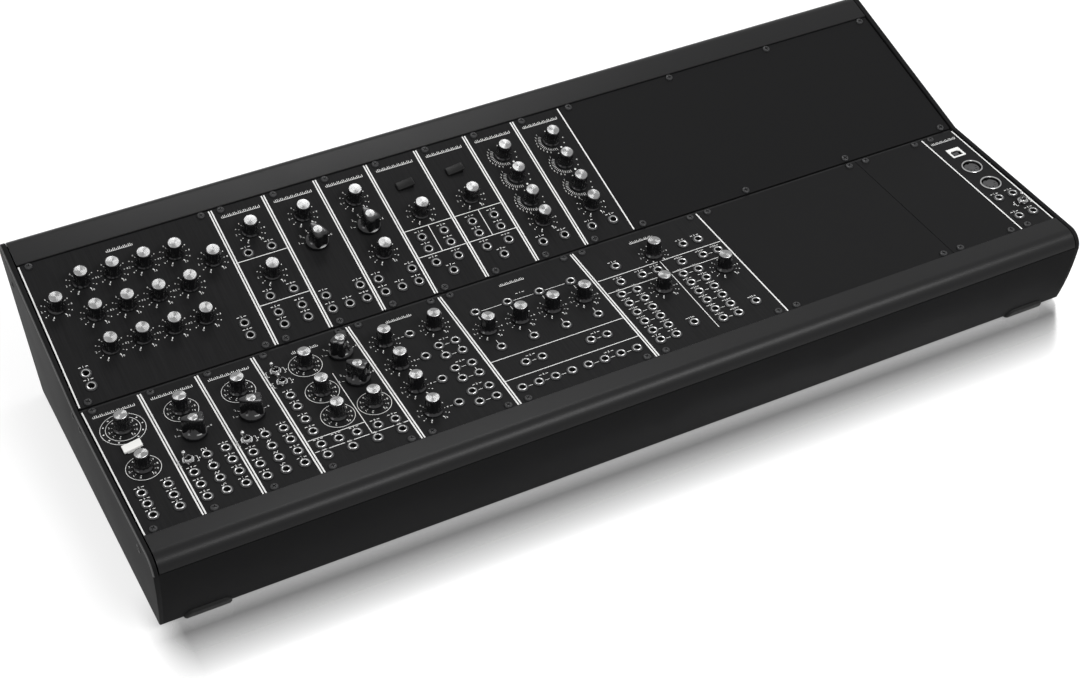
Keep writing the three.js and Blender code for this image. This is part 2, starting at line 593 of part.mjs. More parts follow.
const UPPER_MODULES = [
  {
    name: 'filter_bank_module',
    units: BANK_UNITS,
    knobs: [
      ...grid(bankColumns([-1.5, -0.5, 0.5, 1.5]),
        count(3).map((k) => TOP_KNOB_SHARE - k * BANK_PITCH_SHARE)),
      ...grid(bankColumns([-2.5, 2.5]), [TOP_KNOB_SHARE - BANK_PITCH_SHARE / 2])],
    jacks: grid(bankColumns([-2.5, 2.5]), [jackRow(1), jackRow(0)]),
  },
  {
    name: 'noise_filter_module',
    units: NARROW_UNITS,
    knobs: grid([narrowMiddle], [TOP_KNOB_SHARE, COUPLER_LOW_KNOB_SHARE]),
    jacks: grid(both(narrowMiddle, PAIR_UNITS), [
      TOP_KNOB_SHARE - COUPLER_JACK_DROP_SHARE,
      COUPLER_LOW_KNOB_SHARE - COUPLER_JACK_DROP_SHARE,
      jackRow(1), jackRow(0)]),
  },
  {
    name: 'highpass_module',
    units: NARROW_UNITS,
    knobs: [[narrowMiddle, TOP_KNOB_SHARE]],
    pointers: [[narrowMiddle, knobRow(1)]],
    jacks: selectorJacks,
  },
  {
    name: 'lowpass_module',
    units: NARROW_UNITS,
    knobs: grid([narrowMiddle], [TOP_KNOB_SHARE, knobRow(2)]),
    pointers: [[narrowMiddle, knobRow(1)]],
    jacks: selectorJacks,
  },
  { name: 'left_amplifier_module', ...amplifier },
  { name: 'right_amplifier_module', ...amplifier },
  { name: 'left_envelope_module', ...envelope },
  { name: 'right_envelope_module', ...envelope },
  { name: 'upper_blank_panel', units: 56, blank: true },
];

const LOWER_MODULES = [
  {
    name: 'driver_module',
    units: NARROW_UNITS,
    knobs: grid([narrowMiddle], [TOP_KNOB_SHARE, DRIVER_LOW_KNOB_SHARE]),
    rockers: [[narrowMiddle, (TOP_KNOB_SHARE + DRIVER_LOW_KNOB_SHARE) / 2]],
    jacks: grid(both(narrowMiddle, PAIR_UNITS), count(3).map(jackRow)),
  },
  { name: 'left_oscillator_module', ...oscillator },
  { name: 'right_oscillator_module', ...oscillator },
  {
    name: 'dual_oscillator_module',
    units: DUAL_UNITS,
    knobs: [
      ...grid([DUAL_SMALL_UNITS], DUAL_KNOB_SHARES),
      [DUAL_LARGE_UNITS, DUAL_KNOB_SHARES[2]]],
    pointers: grid([DUAL_LARGE_UNITS], DUAL_KNOB_SHARES.slice(0, 2)),
    toggles: grid([DUAL_EDGE_UNITS], DUAL_TOGGLE_SHARES),
    jacks: [
      ...grid([DUAL_EDGE_UNITS], DUAL_EDGE_SHARES),
      ...grid(DUAL_LOW_COLUMN_UNITS, [jackRow(1)]),
      ...grid(count(4).map((k) => DUAL_EDGE_UNITS + k * DUAL_BOTTOM_UNITS), [jackRow(0)])],
  },
  {
    name: 'mixer_module',
    units: DUAL_UNITS,
    knobs: [
      ...grid([MIXER_KNOB_UNITS], count(4).map(knobRow)),
      [MIXER_PAIR_UNITS + COLUMN_UNITS / 2, TOP_KNOB_SHARE]],
    jacks: [
      ...grid([DUAL_UNITS / 2], count(4).map(knobRow)),
      ...grid([MIXER_PAIR_UNITS, MIXER_PAIR_UNITS + COLUMN_UNITS],
        [1, 2, 3].flatMap((k) => both(knobRow(k), QUAD_SPREAD_SHARE)))],
  },
  {
    name: 'attenuator_module',
    units: WIDE_UNITS,
    knobs: grid(attenuatorColumns, [(TOP_KNOB_SHARE + jackRow(4)) / 2]),
    jacks: [
      ...grid(attenuatorColumns, [TOP_KNOB_SHARE, jackRow(4)]),
      ...grid(ATTENUATOR_PAIR_COLUMN_UNITS.flatMap((u) => [u, u + COLUMN_UNITS]),
        [jackRow(2)]),
      ...grid(count(8).map((k) => wideMiddle + (k - 3.5) * COLUMN_UNITS), [jackRow(0)])],
  },
  {
    name: 'interface_module',
    units: WIDE_UNITS,
    knobs: [
      [wideMiddle, TOP_KNOB_SHARE],
      ...halves((left) => [
        [left + INTERFACE_PAIR_UNITS + COLUMN_UNITS / 2, INTERFACE_KNOB_SHARE]])],
    jacks: [
      ...grid(INTERFACE_TOP_COLUMN_UNITS, [TOP_KNOB_SHARE]),
      ...halves((left) => [
        [left + INTERFACE_COLUMN_UNITS + COLUMN_UNITS / 2, INTERFACE_INPUT_SHARE],
        ...grid([left + INTERFACE_PAIR_UNITS, left + INTERFACE_PAIR_UNITS + COLUMN_UNITS],
          [INTERFACE_INPUT_SHARE]),
        ...grid([left + INTERFACE_COLUMN_UNITS, left + INTERFACE_COLUMN_UNITS + COLUMN_UNITS],
          count(INTERFACE_ROWS).map(jackRow)),
        [left + INTERFACE_PAIR_UNITS + COLUMN_UNITS / 2, jackRow(0.5)]])],
  },
  { name: 'wide_blank_panel', units: 28, blank: true },
  { name: 'narrow_blank_panel', units: 12, blank: true },
  {
    name: 'midi_module',
    units: MIDI_UNITS,
    usb: [[midiMiddle, MIDI_USB_SHARE]],
    din: grid([midiMiddle], MIDI_DIN_SHARES),
    jacks: grid(both(midiMiddle, MIDI_JACK_UNITS), [MIDI_UPPER_JACK_SHARE, LOW_JACK_SHARE]),
    toggles: [[MIDI_TOGGLE_UNITS, MIDI_TOGGLE_SHARE]],
  },
];

// A place on a panel in millimetres along its row
const placeOn = (left) => ([column, share]) => [left + column * UNIT, share * PANEL_HEIGHT];

// One module's panel with its boards, sockets, switch housings and fixed knobs
function panel(module, left, knobsTurn) {
  const width = module.units * UNIT;
  const middle = [left + width / 2, PANEL_HEIGHT / 2];
  const places = (kind) => (module[kind] ?? []).map(placeOn(left));
  const plate = block(width - PANEL_GAP, PANEL_HEIGHT, middle, -PANEL_THICKNESS, 0);
  if (module.blank) return plate;
  const added = [
    plate,
    block(width - PANEL_GAP - 2 * BLOCK_SIDE, PANEL_HEIGHT - 2 * BLOCK_END, middle,
      -BLOCK_DEPTH, -JOIN),
    ...places('jacks').map((place) => post(JACK_SIDES, JACK_RADIUS, place, -JOIN, JACK_RISE)),
    ...places('toggles').flatMap(toggleMount),
    ...places('din').map((place) => post(DIN_SIDES, DIN_FLANGE, place, -JOIN, DIN_FLANGE_RISE)),
    ...places('usb').map((place) => block(USB_WIDTH + 2 * USB_FLANGE,
      USB_HEIGHT + 2 * USB_FLANGE, place, -JOIN, USB_FLANGE_RISE)),
    ...(knobsTurn ? [] : places('knobs').map(([u, v]) => fixedKnob().translate(u, v, 0)))];
  const shafts = [...(knobsTurn ? places('knobs') : []), ...places('pointers')];
  return cut(join(added), [
    ...places('jacks').map((place) =>
      post(BORE_SIDES, JACK_BORE, place, -JACK_DEPTH, JACK_RISE + OVERRUN)),
    ...shafts.map(shaftBore), ...places('toggles').map(toggleBore),
    ...places('rockers').map(rockerSlot), ...places('din').map(dinCut),
    ...places('usb').map(usbCut)]);
}

// The power plate's frame on the rear face: X along the row, Y down the face, Z outwards
const powerMatrix = new THREE.Matrix4().compose(
  new THREE.Vector3(PLATE_FROM_END + PLATE_LENGTH / 2, ...rearPoint(PLATE_DROP, -SEAT_GAP)),
  new THREE.Quaternion().setFromEuler(new THREE.Euler(-Math.PI / 2 - REAR_LEAN, 0, 0)),
  new THREE.Vector3(1, 1, 1));
function powerPlace(solid) {
  return solid.transform(powerMatrix.toArray());
}

// Plate with the low-voltage inlet and the power switch's housing
function powerPlate() {
  const socket = [-POWER_PART_OFFSET, 0];
  const body = join([
    block(PLATE_LENGTH, PLATE_WIDTH, [0, 0], 0, PANEL_THICKNESS),
    block(PLATE_LENGTH - 2 * PLATE_BODY_INSET, PLATE_WIDTH - 2 * PLATE_BODY_INSET, [0, 0],
      -PLATE_BODY_DEPTH, JOIN),
    post(DIN_SIDES, INLET_RADIUS, socket, JOIN, PANEL_THICKNESS + JACK_RISE)]);
  const bore = post(DIN_SIDES, INLET_BORE, socket, -JACK_DEPTH, PANEL_THICKNESS + OVERRUN)
    .subtract(post(JACK_SIDES, INLET_PIN, socket, -JACK_DEPTH - JOIN, PANEL_THICKNESS));
  const slot = rockerSlot([POWER_PART_OFFSET, 0]).translate(0, 0, PANEL_THICKNESS);
  return cut(body, [bore, slot]);
}

// Distribution board on the base, with a header for each ribbon cable
function busBoard() {
  const floor = SHEET - CASE_HEIGHT + SEAT_GAP;
  const bottom = floor + BOARD_STANDOFF;
  const top = bottom + BOARD_THICKNESS;
  const middle = [ROW_WIDTH / 2, BOARD_Y + BOARD_WIDTH / 2];
  const step = BOARD_LENGTH / HEADERS;
  const legs = [-1, 1].flatMap((x) => [-1, 1].map((y) => [
    middle[0] + x * (BOARD_LENGTH / 2 - 2 * STANDOFF_RADIUS),
    middle[1] + y * (BOARD_WIDTH / 2 - 2 * STANDOFF_RADIUS)]));
  return join([
    block(BOARD_LENGTH, BOARD_WIDTH, middle, bottom, top),
    ...legs.map((place) => post(JACK_SIDES, STANDOFF_RADIUS, place, floor, bottom + JOIN)),
    ...count(HEADERS).map((k) => block(HEADER_LENGTH, HEADER_WIDTH,
      [middle[0] + (k + 0.5 - HEADERS / 2) * step, middle[1]], top - JOIN,
      top + HEADER_HEIGHT))]);
}

function piece(name, solid, material) {
  const mesh = new THREE.Mesh(toGeometry(solid), material());
  mesh.name = name;
  return mesh;
}

// A moving piece stands on its panel at a place, turned as it is set
function placed(mesh, [u, v], turn = {}) {
  mesh.position.set(u, v, turn.z ?? 0);
  mesh.rotation.set(turn.lean ?? 0, turn.tilt ?? 0, turn.spin ?? 0);
  return mesh;
}

const ROCKER_AXIS = -ROCKER_PIVOT;
function tiltedRocker(name, place, face, material) {
  const solid = rocker().translate(0, 0, -ROCKER_AXIS);
  return placed(piece(name, solid, material), place,
    { z: ROCKER_AXIS + face, tilt: -ROCKER_TILT });
}

// Where each selector's pointer stands, in steps counterclockwise from straight up. The
// six settings lie half a step, one and a half and two and a half to both sides of it.
const SELECTOR_SETTINGS = {
  highpass_selector: 0.5, lowpass_selector: 0.5, left_oscillator_selector: 2.5,
  right_oscillator_selector: 2.5, dual_oscillator_upper_selector: -1.5,
  dual_oscillator_lower_selector: 1.5,
};

function row(modules, knobsTurn, whiteRocker) {
  const group = new THREE.Group();
  let left = 0;
  for (const module of modules) {
    const at = placeOn(left);
    const label = module.name.replace('_module', '');
    const numbered = (list, word) => list.map((_, k) =>
      (list.length > 1 ? `${label}_${word}_${k + 1}` : `${label}_${word}`));
    group.add(piece(module.name, panel(module, left, knobsTurn), panelBlack));
    const knobs = knobsTurn ? module.knobs ?? [] : [];
    numbered(knobs, 'knob').forEach((name, k) =>
      group.add(placed(piece(name, turningKnob(), knobBlack), at(knobs[k]))));
    const pointers = module.pointers ?? [];
    const selectors = pointers.length > 1
      ? [`${label}_upper_selector`, `${label}_lower_selector`] : [`${label}_selector`];
    pointers.forEach((place, k) => {
      const spin = Math.PI / 2 + SELECTOR_SETTINGS[selectors[k]] * SELECTOR_STEP;
      group.add(placed(piece(selectors[k], pointerKnob(), knobBlack), at(place), { spin }));
    });
    const toggles = module.toggles ?? [];
    numbered(toggles, 'toggle').forEach((name, k) =>
      group.add(placed(piece(name, lever(), leverMetal), at(toggles[k]),
        { tilt: -LEVER_TILT })));
    (module.rockers ?? []).forEach((place) =>
      group.add(tiltedRocker(`${label}_rocker`, at(place), 0,
        whiteRocker ? whitePlastic : knobBlack)));
    left += module.units * UNIT;
  }
  return group;
}

const lowerRow = row(LOWER_MODULES, true, true);
const upperRow = row(UPPER_MODULES, false, false);
upperRow.position.set(0, ...UPPER_ORIGIN);
upperRow.rotation.x = ROW_TILT;

const rear = new THREE.Group();
rear.applyMatrix4(powerMatrix);
rear.add(
  piece('power_plate', powerPlate(), inletBlack),
  tiltedRocker('power_rocker', [POWER_PART_OFFSET, 0], PANEL_THICKNESS, knobBlack));

const synthesizer = new THREE.Group();
synthesizer.name = 'modular_synthesizer';
synthesizer.add(
  piece('case_tub', tub(), caseBlack),
  piece('front_rail', frontRail(), railBlack),
  piece('middle_rail', middleRail(), railBlack),
  piece('rear_rail', rearRail(), railBlack),
  piece('bus_board', busBoard(), boardGreen),
  lowerRow, upperRow, rear);

// The origin lies under the middle of the case, on the table
const rearmost = Math.max(...caseOutline().map(([y]) => y));
synthesizer.position.set(
  -ROW_WIDTH / 2, (FRONT_REACH - rearmost) / 2, CASE_HEIGHT + FOOT_PROUD);

export default synthesizer;
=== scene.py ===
"""Looks of a two-row desktop modular synthesizer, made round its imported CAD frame.

Shapes are given in millimetres. A face has its own directions, u along the row, v up the
panels and n out of them, and puts its shapes into the object's frame, in metres.
"""
import json
import math
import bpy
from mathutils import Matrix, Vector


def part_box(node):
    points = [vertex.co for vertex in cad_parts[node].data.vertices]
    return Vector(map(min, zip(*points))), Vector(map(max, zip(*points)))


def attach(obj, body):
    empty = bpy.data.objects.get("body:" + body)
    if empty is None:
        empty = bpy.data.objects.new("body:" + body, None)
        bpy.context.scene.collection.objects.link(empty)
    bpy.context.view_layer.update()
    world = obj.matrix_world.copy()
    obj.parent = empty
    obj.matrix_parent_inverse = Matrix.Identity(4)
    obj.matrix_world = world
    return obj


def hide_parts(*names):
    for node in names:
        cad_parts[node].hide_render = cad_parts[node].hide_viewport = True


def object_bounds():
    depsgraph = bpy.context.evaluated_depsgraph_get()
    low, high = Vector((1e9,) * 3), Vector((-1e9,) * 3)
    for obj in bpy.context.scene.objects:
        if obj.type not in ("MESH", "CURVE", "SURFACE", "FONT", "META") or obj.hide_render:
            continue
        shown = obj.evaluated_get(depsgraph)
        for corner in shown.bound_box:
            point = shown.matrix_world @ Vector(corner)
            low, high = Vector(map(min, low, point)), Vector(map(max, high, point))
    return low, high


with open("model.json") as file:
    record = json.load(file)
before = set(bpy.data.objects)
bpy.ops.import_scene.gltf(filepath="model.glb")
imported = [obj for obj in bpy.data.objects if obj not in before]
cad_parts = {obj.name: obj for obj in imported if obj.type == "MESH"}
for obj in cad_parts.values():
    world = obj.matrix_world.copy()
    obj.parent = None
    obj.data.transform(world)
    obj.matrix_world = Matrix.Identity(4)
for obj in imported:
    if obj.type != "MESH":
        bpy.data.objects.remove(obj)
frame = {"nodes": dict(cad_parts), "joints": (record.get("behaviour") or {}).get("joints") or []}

from types import SimpleNamespace

import bpy
import numpy as np
from bpy.props import FloatProperty, FloatVectorProperty, PointerProperty
from mathutils import Vector

bl_info = {
    "name": "Modular synthesizer",
    "version": (1, 0, 0),
    "blender": (4, 5, 0),
    "location": "View3D > Sidebar > Synthesizer",
    "description": "Dresses the frame of a two-row desktop modular synthesizer",
    "category": "Add Mesh",
}

CAD_BOX = [list(corner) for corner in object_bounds()]
MM = 0.001
UNIT = 5.08                      # one width unit of a panel
PANEL_HEIGHT = 128.5
PANEL_THICKNESS = 2.0
PANEL_GAP = 0.3                  # between two panels of a row
ROW_WIDTH = 140 * UNIT
ROW_TILT = math.radians(15.2)
SHAFT = 3.0                      # radius of a knob's metal stem
ROCKER_REST = 1.3                # how far a rocker's end lies over the edge of its hole


def length(label, millimetres, description):
    """A size in metres, given in millimetres."""
    return FloatProperty(name=label, description=description, default=millimetres * MM,
                         min=0.0, unit="LENGTH", precision=5)


def angle(label, degrees, description):
    """An angle, given in degrees."""
    return FloatProperty(name=label, description=description,
                         default=math.radians(degrees), subtype="ANGLE")


def share(label, default, description):
    """A share from nothing to all."""
    return FloatProperty(name=label, description=description, default=default, min=0.0,
                         max=1.0)


def colour(label, red, green, blue, description):
    """A linear colour."""
    return FloatVectorProperty(name=label, description=description, size=3, min=0.0, max=1.0,
                               default=(red, green, blue), subtype="COLOR")


class SynthCase(bpy.types.PropertyGroup):
    """Sizes of the case, its lips and its feet"""
    row_space: length("Row space", 2.8, "Between the lower and the upper panels")
    row_rise: length("Row rise", 0.45, "The upper row starts this much higher")
    height: length("Height", 66.5, "Underside of the base to the lower panels' faces")
    rim_rise: length("Rim rise", 1.2, "Rims and lips stand this much above the panels")
    side_gap: length("Side gap", 0.8, "Dark joint between a row and the end wall")
    wall: length("End wall", 3.7, "Thickness of an end wall at its rim")
    wall_draft: angle("Wall draft", 1.1, "Lean of the end walls")
    sheet: length("Sheet", 2, "Thickness of the base, front and rear")
    rim_round: length("Rim round", 0.9, "Rounding of the end walls' outer rim")
    rim_crease: length("Rim crease", 0.5, "Rounding of the rim beside the panels")
    nose_radius: length("Nose radius", 12, "Rounding of the front edge")
    front_reach: length("Front reach", 26.7, "Panel edge to the foremost point of the nose")
    bow_radius: length("Bow radius", 233, "Bow of the front face")
    bow_start: angle("Bow start", 4.5, "Where the bow takes over from the nose")
    base_round: length("Base round", 3, "Rounding of the front face's lower edge")
    rear_reach: length("Rear reach", 35.6, "Upper panel edge to the rear corner")
    rear_lean: angle("Rear lean", 25, "Lean of the rear face")
    rear_round: length("Rear round", 8, "Rounding of the rear corner")
    rear_base_round: length("Rear base round", 5, "Rounding of the rear face's lower edge")
    lip_skin: length("Lip skin", 2.5, "Thickness of the lips")
    lip_seam: angle("Lip seam", 82, "Angle of the nose that the front lip covers")
    seam_angle: angle("Seam angle", 3.6, "Width of the seam below the front lip")
    rear_lip_drop: length("Rear lip drop", 32, "Rear corner to the rear lip's lower edge")
    seam: length("Seam", 0.5, "Width of the seam below the rear lip")
    edge_gap: length("Edge gap", 0.4, "Between a panel edge and the lip")
    seat_gap: length("Seat gap", 0.3, "Between a panel and its rail")
    ledge: length("Ledge", 7, "How far a rail reaches under a panel")
    rail_depth: length("Rail depth", 6, "Height of a rail")
    foot_width: length("Foot width", 33, "Width of a rubber foot")
    foot_inset: length("Foot inset", 13, "Row end to the foot")
    foot_proud: length("Foot proud", 2, "Thickness of a foot outside the case")
    foot_climb: length("Foot climb", 7, "How far a foot climbs the face")
    foot_run: length("Foot run", 26, "How far a foot runs along the base")
    foot_round: length("Foot round", 6, "Rounding of a foot's upper corners")


class SynthControls(bpy.types.PropertyGroup):
    """Sizes of what the panels carry"""
    jack_nut: length("Jack nut", 4.2, "Radius of a jack's black nut")
    jack_rise: length("Jack rise", 1.5, "Height of a jack above its panel")
    jack_bush: length("Jack bush", 3.3, "Radius of a jack's bright bush")
    jack_bore: length("Jack bore", 1.9, "Radius of a jack's bore")
    jack_mouth: length("Jack mouth", 2.25, "Radius of the bore's flared mouth")
    jack_depth: length("Jack depth", 8, "Depth of a jack's bore below the panel face")
    knob_lift: length("Knob lift", 0.5, "Running gap below a knob")
    knob_skirt: length("Knob skirt", 6.7, "Radius of a small knob's skirt")
    knob_skirt_rise: length("Skirt rise", 1.8, "Height of a small knob's skirt")
    knob_radius: length("Knob radius", 5.5, "Radius of a small knob's grip")
    knob_top: length("Knob top", 13.3, "Height of a small knob above its panel")
    knob_disc: length("Knob disc", 4.75, "Radius of a small knob's metal disc")
    flute_depth: length("Flute depth", 0.36, "Depth of a small knob's flutes")
    pointer_skirt: length("Pointer skirt", 8.6, "Radius of a pointer knob's skirt")
    pointer_radius: length("Pointer radius", 8.2, "Reach of a pointer knob's pointer")
    pointer_top: length("Pointer top", 15.1, "Height of a pointer knob's body")
    pointer_disc: length("Pointer disc", 3.4, "Radius of a pointer knob's metal disc")
    rocker_length: length("Rocker length", 13.2, "Length of a rocker")
    rocker_width: length("Rocker width", 7, "Width of a rocker")
    rocker_top: length("Rocker top", 3.1, "Height of a level rocker's face")
    rocker_pivot: length("Rocker pivot", 1, "Pivot below the face that carries a rocker")
    rocker_tilt: angle("Rocker tilt", 9, "Tilt of a rocker to either side")
    nut_radius: length("Nut radius", 4.4, "Corner radius of a toggle's nut")
    nut_rise: length("Nut rise", 1.8, "Height of a toggle's nut")
    bushing_radius: length("Bushing radius", 3, "Radius of a toggle's threaded bushing")
    bushing_rise: length("Bushing rise", 3.4, "Height of a toggle's bushing")
    lever_reach: length("Lever reach", 10.6, "Length of a toggle's lever above the panel")
    lever_tip: length("Lever tip", 1.45, "Radius of a lever's tip")
    lever_tilt: angle("Lever tilt", 15, "Tilt of a lever to either side")
    din_flange: length("Round socket", 8.2, "Radius of a round socket's ring")
    din_core: length("Socket core", 5.8, "Radius of a round socket's core")
    usb_side: length("Square socket", 8.5, "Opening of the square socket")
    usb_frame: length("Square frame", 1.6, "Width of the square socket's frame")
    screw_radius: length("Screw head", 3, "Radius of a panel screw's head")
    screw_rise: length("Screw rise", 1.5, "Height of a panel screw's head")
    print_rise: length("Print rise", 0.04, "Thickness of the printed ink")
    stroke: length("Stroke", 0.36, "Width of a printed line")
    edge_stroke: length("Edge line", 1.05, "Width of the line along a panel's edge")
    numeral: length("Numeral", 1.75, "Height of a printed numeral")


class SynthColours(bpy.types.PropertyGroup):
    """Colours of the finishes and the settings of the studio"""
    case_paint: colour("Case", 0.0105, 0.0105, 0.0108, "Powder coat of the case")
    rail_paint: colour("Lips", 0.0095, 0.0095, 0.0098, "Paint of the lips and rails")
    panel: colour("Panel", 0.0110, 0.0110, 0.0113, "Anodised panels with print")
    blank: colour("Blank panel", 0.0087, 0.0087, 0.0090, "Anodised blank panels")
    ink: colour("Ink", 0.76, 0.76, 0.75, "Printed lines and numerals")
    knob: colour("Knob", 0.006, 0.006, 0.0065, "Gloss plastic of the knobs")
    spun: colour("Spun metal", 0.27, 0.27, 0.27, "Discs on the knobs")
    # Lighter than the case paint: a painted highlight along the end walls' rounded rim
    rim: colour("Rim", 0.045, 0.045, 0.045, "Smooth edge of the end walls")
    nut: colour("Nut", 0.030, 0.030, 0.031, "Black plated nuts and screws")
    bright: colour("Bright metal", 0.38, 0.38, 0.38, "Plated bushes, rings and levers")
    white: colour("White plastic", 0.80, 0.80, 0.79, "White rocker and socket frame")
    dark: colour("Dark plastic", 0.010, 0.010, 0.010, "Switch and socket bodies")
    core: colour("Socket core", 0.055, 0.055, 0.056, "Cores of the sockets")
    rubber: colour("Rubber", 0.010, 0.010, 0.010, "Feet")
    board: colour("Circuit board", 0.010, 0.060, 0.022, "Solder mask")
    floor: colour("Floor", 0.40, 0.40, 0.40, "Floor of the studio")
    floor_polish: share("Floor polish", 0.9, "Mirror share of the floor at the front edge")
    floor_lift: share("Floor lift", 0.7, "Glow of the floor where it is looked at")
    world_light: share("World light", 0.45, "Light of the world on the object")


SETTINGS = {"synth_case": SynthCase, "synth_controls": SynthControls,
            "synth_colours": SynthColours}


def in_millimetres(settings):
    """A group's settings by name, with its lengths in millimetres."""
    return SimpleNamespace(**{
        name: getattr(settings, name) / (MM if kind.unit == "LENGTH" else 1)
        for name, kind in settings.bl_rna.properties.items() if kind.type == "FLOAT"})


# Shells: a shell is an array of points and a list of arrays of faces, each array with
# equally many corners in a face

def unit_vector(vector):
    """A vector's direction, with length one."""
    return vector / np.linalg.norm(vector)


def arc(centre, radius, start, end, steps):
    """Points at equal angles on a circle, from one angle to another."""
    turns = np.linspace(start, end, steps + 1)
    return np.asarray(centre) + radius * np.column_stack([np.cos(turns), np.sin(turns)])


def rounded(before, corner, after, radius, steps):
    """An arc in place of a corner. It touches both sides, so its centre lies on their
    bisector, at the radius divided by the sine of half the corner."""
    before, corner, after = (np.asarray(point, float) for point in (before, corner, after))
    back, ahead = unit_vector(before - corner), unit_vector(after - corner)
    half = math.acos(np.clip(back @ ahead, -1, 1)) / 2
    centre = corner + unit_vector(back + ahead) * radius / math.sin(half)
    start, end = (corner + side * radius / math.tan(half) - centre for side in (back, ahead))
    first = math.atan2(start[1], start[0])
    turn = math.atan2(start[0] * end[1] - start[1] * end[0], start @ end)
    return arc(centre, radius, first, first + turn, steps)


def crossing(first, along_first, second, along_second):
    """Where two lines cross, each given by a point and a direction."""
    apart = np.subtract(second, first)
    share = ((apart[0] * along_second[1] - apart[1] * along_second[0])
             / (along_first[0] * along_second[1] - along_first[1] * along_second[0]))
    return np.asarray(first) + share * np.asarray(along_first)


def quarter(shares):
    """The height of a quarter circle over its radius, at shares of the radius from its
    foot: the root of one minus the square of what is left of the radius."""
    return np.sqrt(1 - (1 - np.clip(shares, 0, 1)) ** 2)


def run_lengths(path):
    """The length of a path from its start to each of its points."""
    return np.concatenate([[0], np.cumsum(np.linalg.norm(np.diff(path, axis=0), axis=1))])


def circle(radius, sides):
    """Points of a circle round the origin."""
    turns = np.arange(sides) * math.tau / sides
    return radius * np.column_stack([np.cos(turns), np.sin(turns)])


def rectangle(width, height, corner_round=0.0):
    """A rectangle round the origin, its corners rounded where a radius is given."""
    corners = np.array([(-1, -1), (1, -1), (1, 1), (-1, 1)]) * [width / 2, height / 2]
    if corner_round:
        corners = np.concatenate([rounded(corners[k - 1], corners[k], corners[(k + 1) % 4],
                                          corner_round, 4) for k in range(4)])
    return corners


def grid_faces(rows, columns, loop_rows=False):
    """Quads between neighbours on a grid of points stored row by row, with each row a
    closed ring, and the last row joined to the first where the rows loop too."""
    row = np.arange(rows if loop_rows else rows - 1)[:, None]
    column = np.arange(columns)[None, :]
    here, there = row * columns, (row + 1) % rows * columns
    ahead = (column + 1) % columns
    return np.stack([here + column, here + ahead, there + ahead, there + column],
                    -1).reshape(-1, 4)


def outward(points, faces):
    """Turns every face round where the volume that they enclose comes out negative. The
    volume is the sum of the triple products of each face's fan of triangles."""
    volume = 0.0
    for corners in faces:
        fan = points[corners]
        first = np.repeat(fan[:, :1], fan.shape[1] - 2, 1)
        volume += np.sum(first * np.cross(fan[:, 1:-1], fan[:, 2:]))
    return points, faces if volume > 0 else [corners[:, ::-1] for corners in faces]


def loft(sections, loop=False):
    """A shell through rings of equally many points. Its end rings are capped, or joined
    to each other where the loft loops."""
    sections = np.asarray(sections, float)
    rows, count = sections.shape[:2]
    faces = [grid_faces(rows, count, loop)]
    if not loop:
        ring = np.arange(count)[None, :]
        faces += [ring[:, ::-1], ring + (rows - 1) * count]
    return outward(sections.reshape(-1, 3), faces)


def turned(profile, sides, shape=1.0, loop=False):
    """A profile of radii and heights turned round the axis: a point goes round as radius
    times cosine, radius times sine, height, with the radius times the shape's share at
    that angle. Sides is a count of equal angles, or the angles. The profile starts and
    ends on the axis, where it closes in a pole, or loops back on itself."""
    profile = np.asarray(profile, float)
    turns = np.arange(sides) * math.tau / sides if isinstance(sides, int) else sides
    radii = profile[:, :1] * shape * np.ones(len(turns))
    rings = np.stack([radii * np.cos(turns), radii * np.sin(turns),
                      profile[:, 1:] * np.ones(len(turns))], -1)
    if loop:
        return outward(rings.reshape(-1, 3), [grid_faces(len(rings), len(turns), True)])
    middle = rings[1:-1]
    points = np.concatenate([rings[0, :1], middle.reshape(-1, 3), rings[-1, :1]])
    here = np.arange(len(turns)) + 1
    ahead = np.roll(here, -1)
    last = (len(middle) - 1) * len(turns)
    start = np.stack([np.zeros_like(here), ahead, here], -1)
    end = np.stack([here + last, ahead + last, np.full_like(here, len(points) - 1)], -1)
    return outward(points, [grid_faces(len(middle), len(turns)) + 1,
                            np.concatenate([start, end])])


def plug(radius, bottom, top, sides):
    """A plain cylinder."""
    return turned([(0, bottom), (radius, bottom), (radius, top), (0, top)], sides)


def block(width, height, bottom, top, edge=0.0):
    """A block round the origin, with its upper edges cut off."""
    rings = [np.column_stack([rectangle(width - 2 * inset, height - 2 * inset),
                              np.full(4, level)])
             for inset, level in ((0, bottom), (0, top - edge), (edge, top))]
    return loft(rings if edge else rings[:2])


def repeated(shell, places, turns=0.0, scales=1.0):
    """Copies of a shell, each scaled, turned about the face's normal and set at its
    place. A copy's faces are the shell's, moved on by the points before them."""
    points, faces = shell
    places = np.atleast_2d(np.asarray(places, float))
    places = np.column_stack([places, np.zeros((len(places), 3 - places.shape[1]))])
    u, v, n = np.moveaxis(points * np.broadcast_to(scales, places.shape)[:, None], 2, 0)
    turns = np.broadcast_to(turns, len(places))[:, None]
    copies = np.stack([np.cos(turns) * u - np.sin(turns) * v,
                       np.sin(turns) * u + np.cos(turns) * v, n], -1) + places[:, None]
    offsets = np.arange(len(places))[:, None, None] * len(points)
    return copies.reshape(-1, 3), [
        (corners + offsets).reshape(-1, corners.shape[1]) for corners in faces]


def joined(shells):
    """Several shells as one."""
    points, faces, count = [], [], 0
    for shell_points, shell_faces in shells:
        points.append(shell_points)
        faces += [corners + count for corners in shell_faces]
        count += len(shell_points)
    return np.concatenate(points), faces


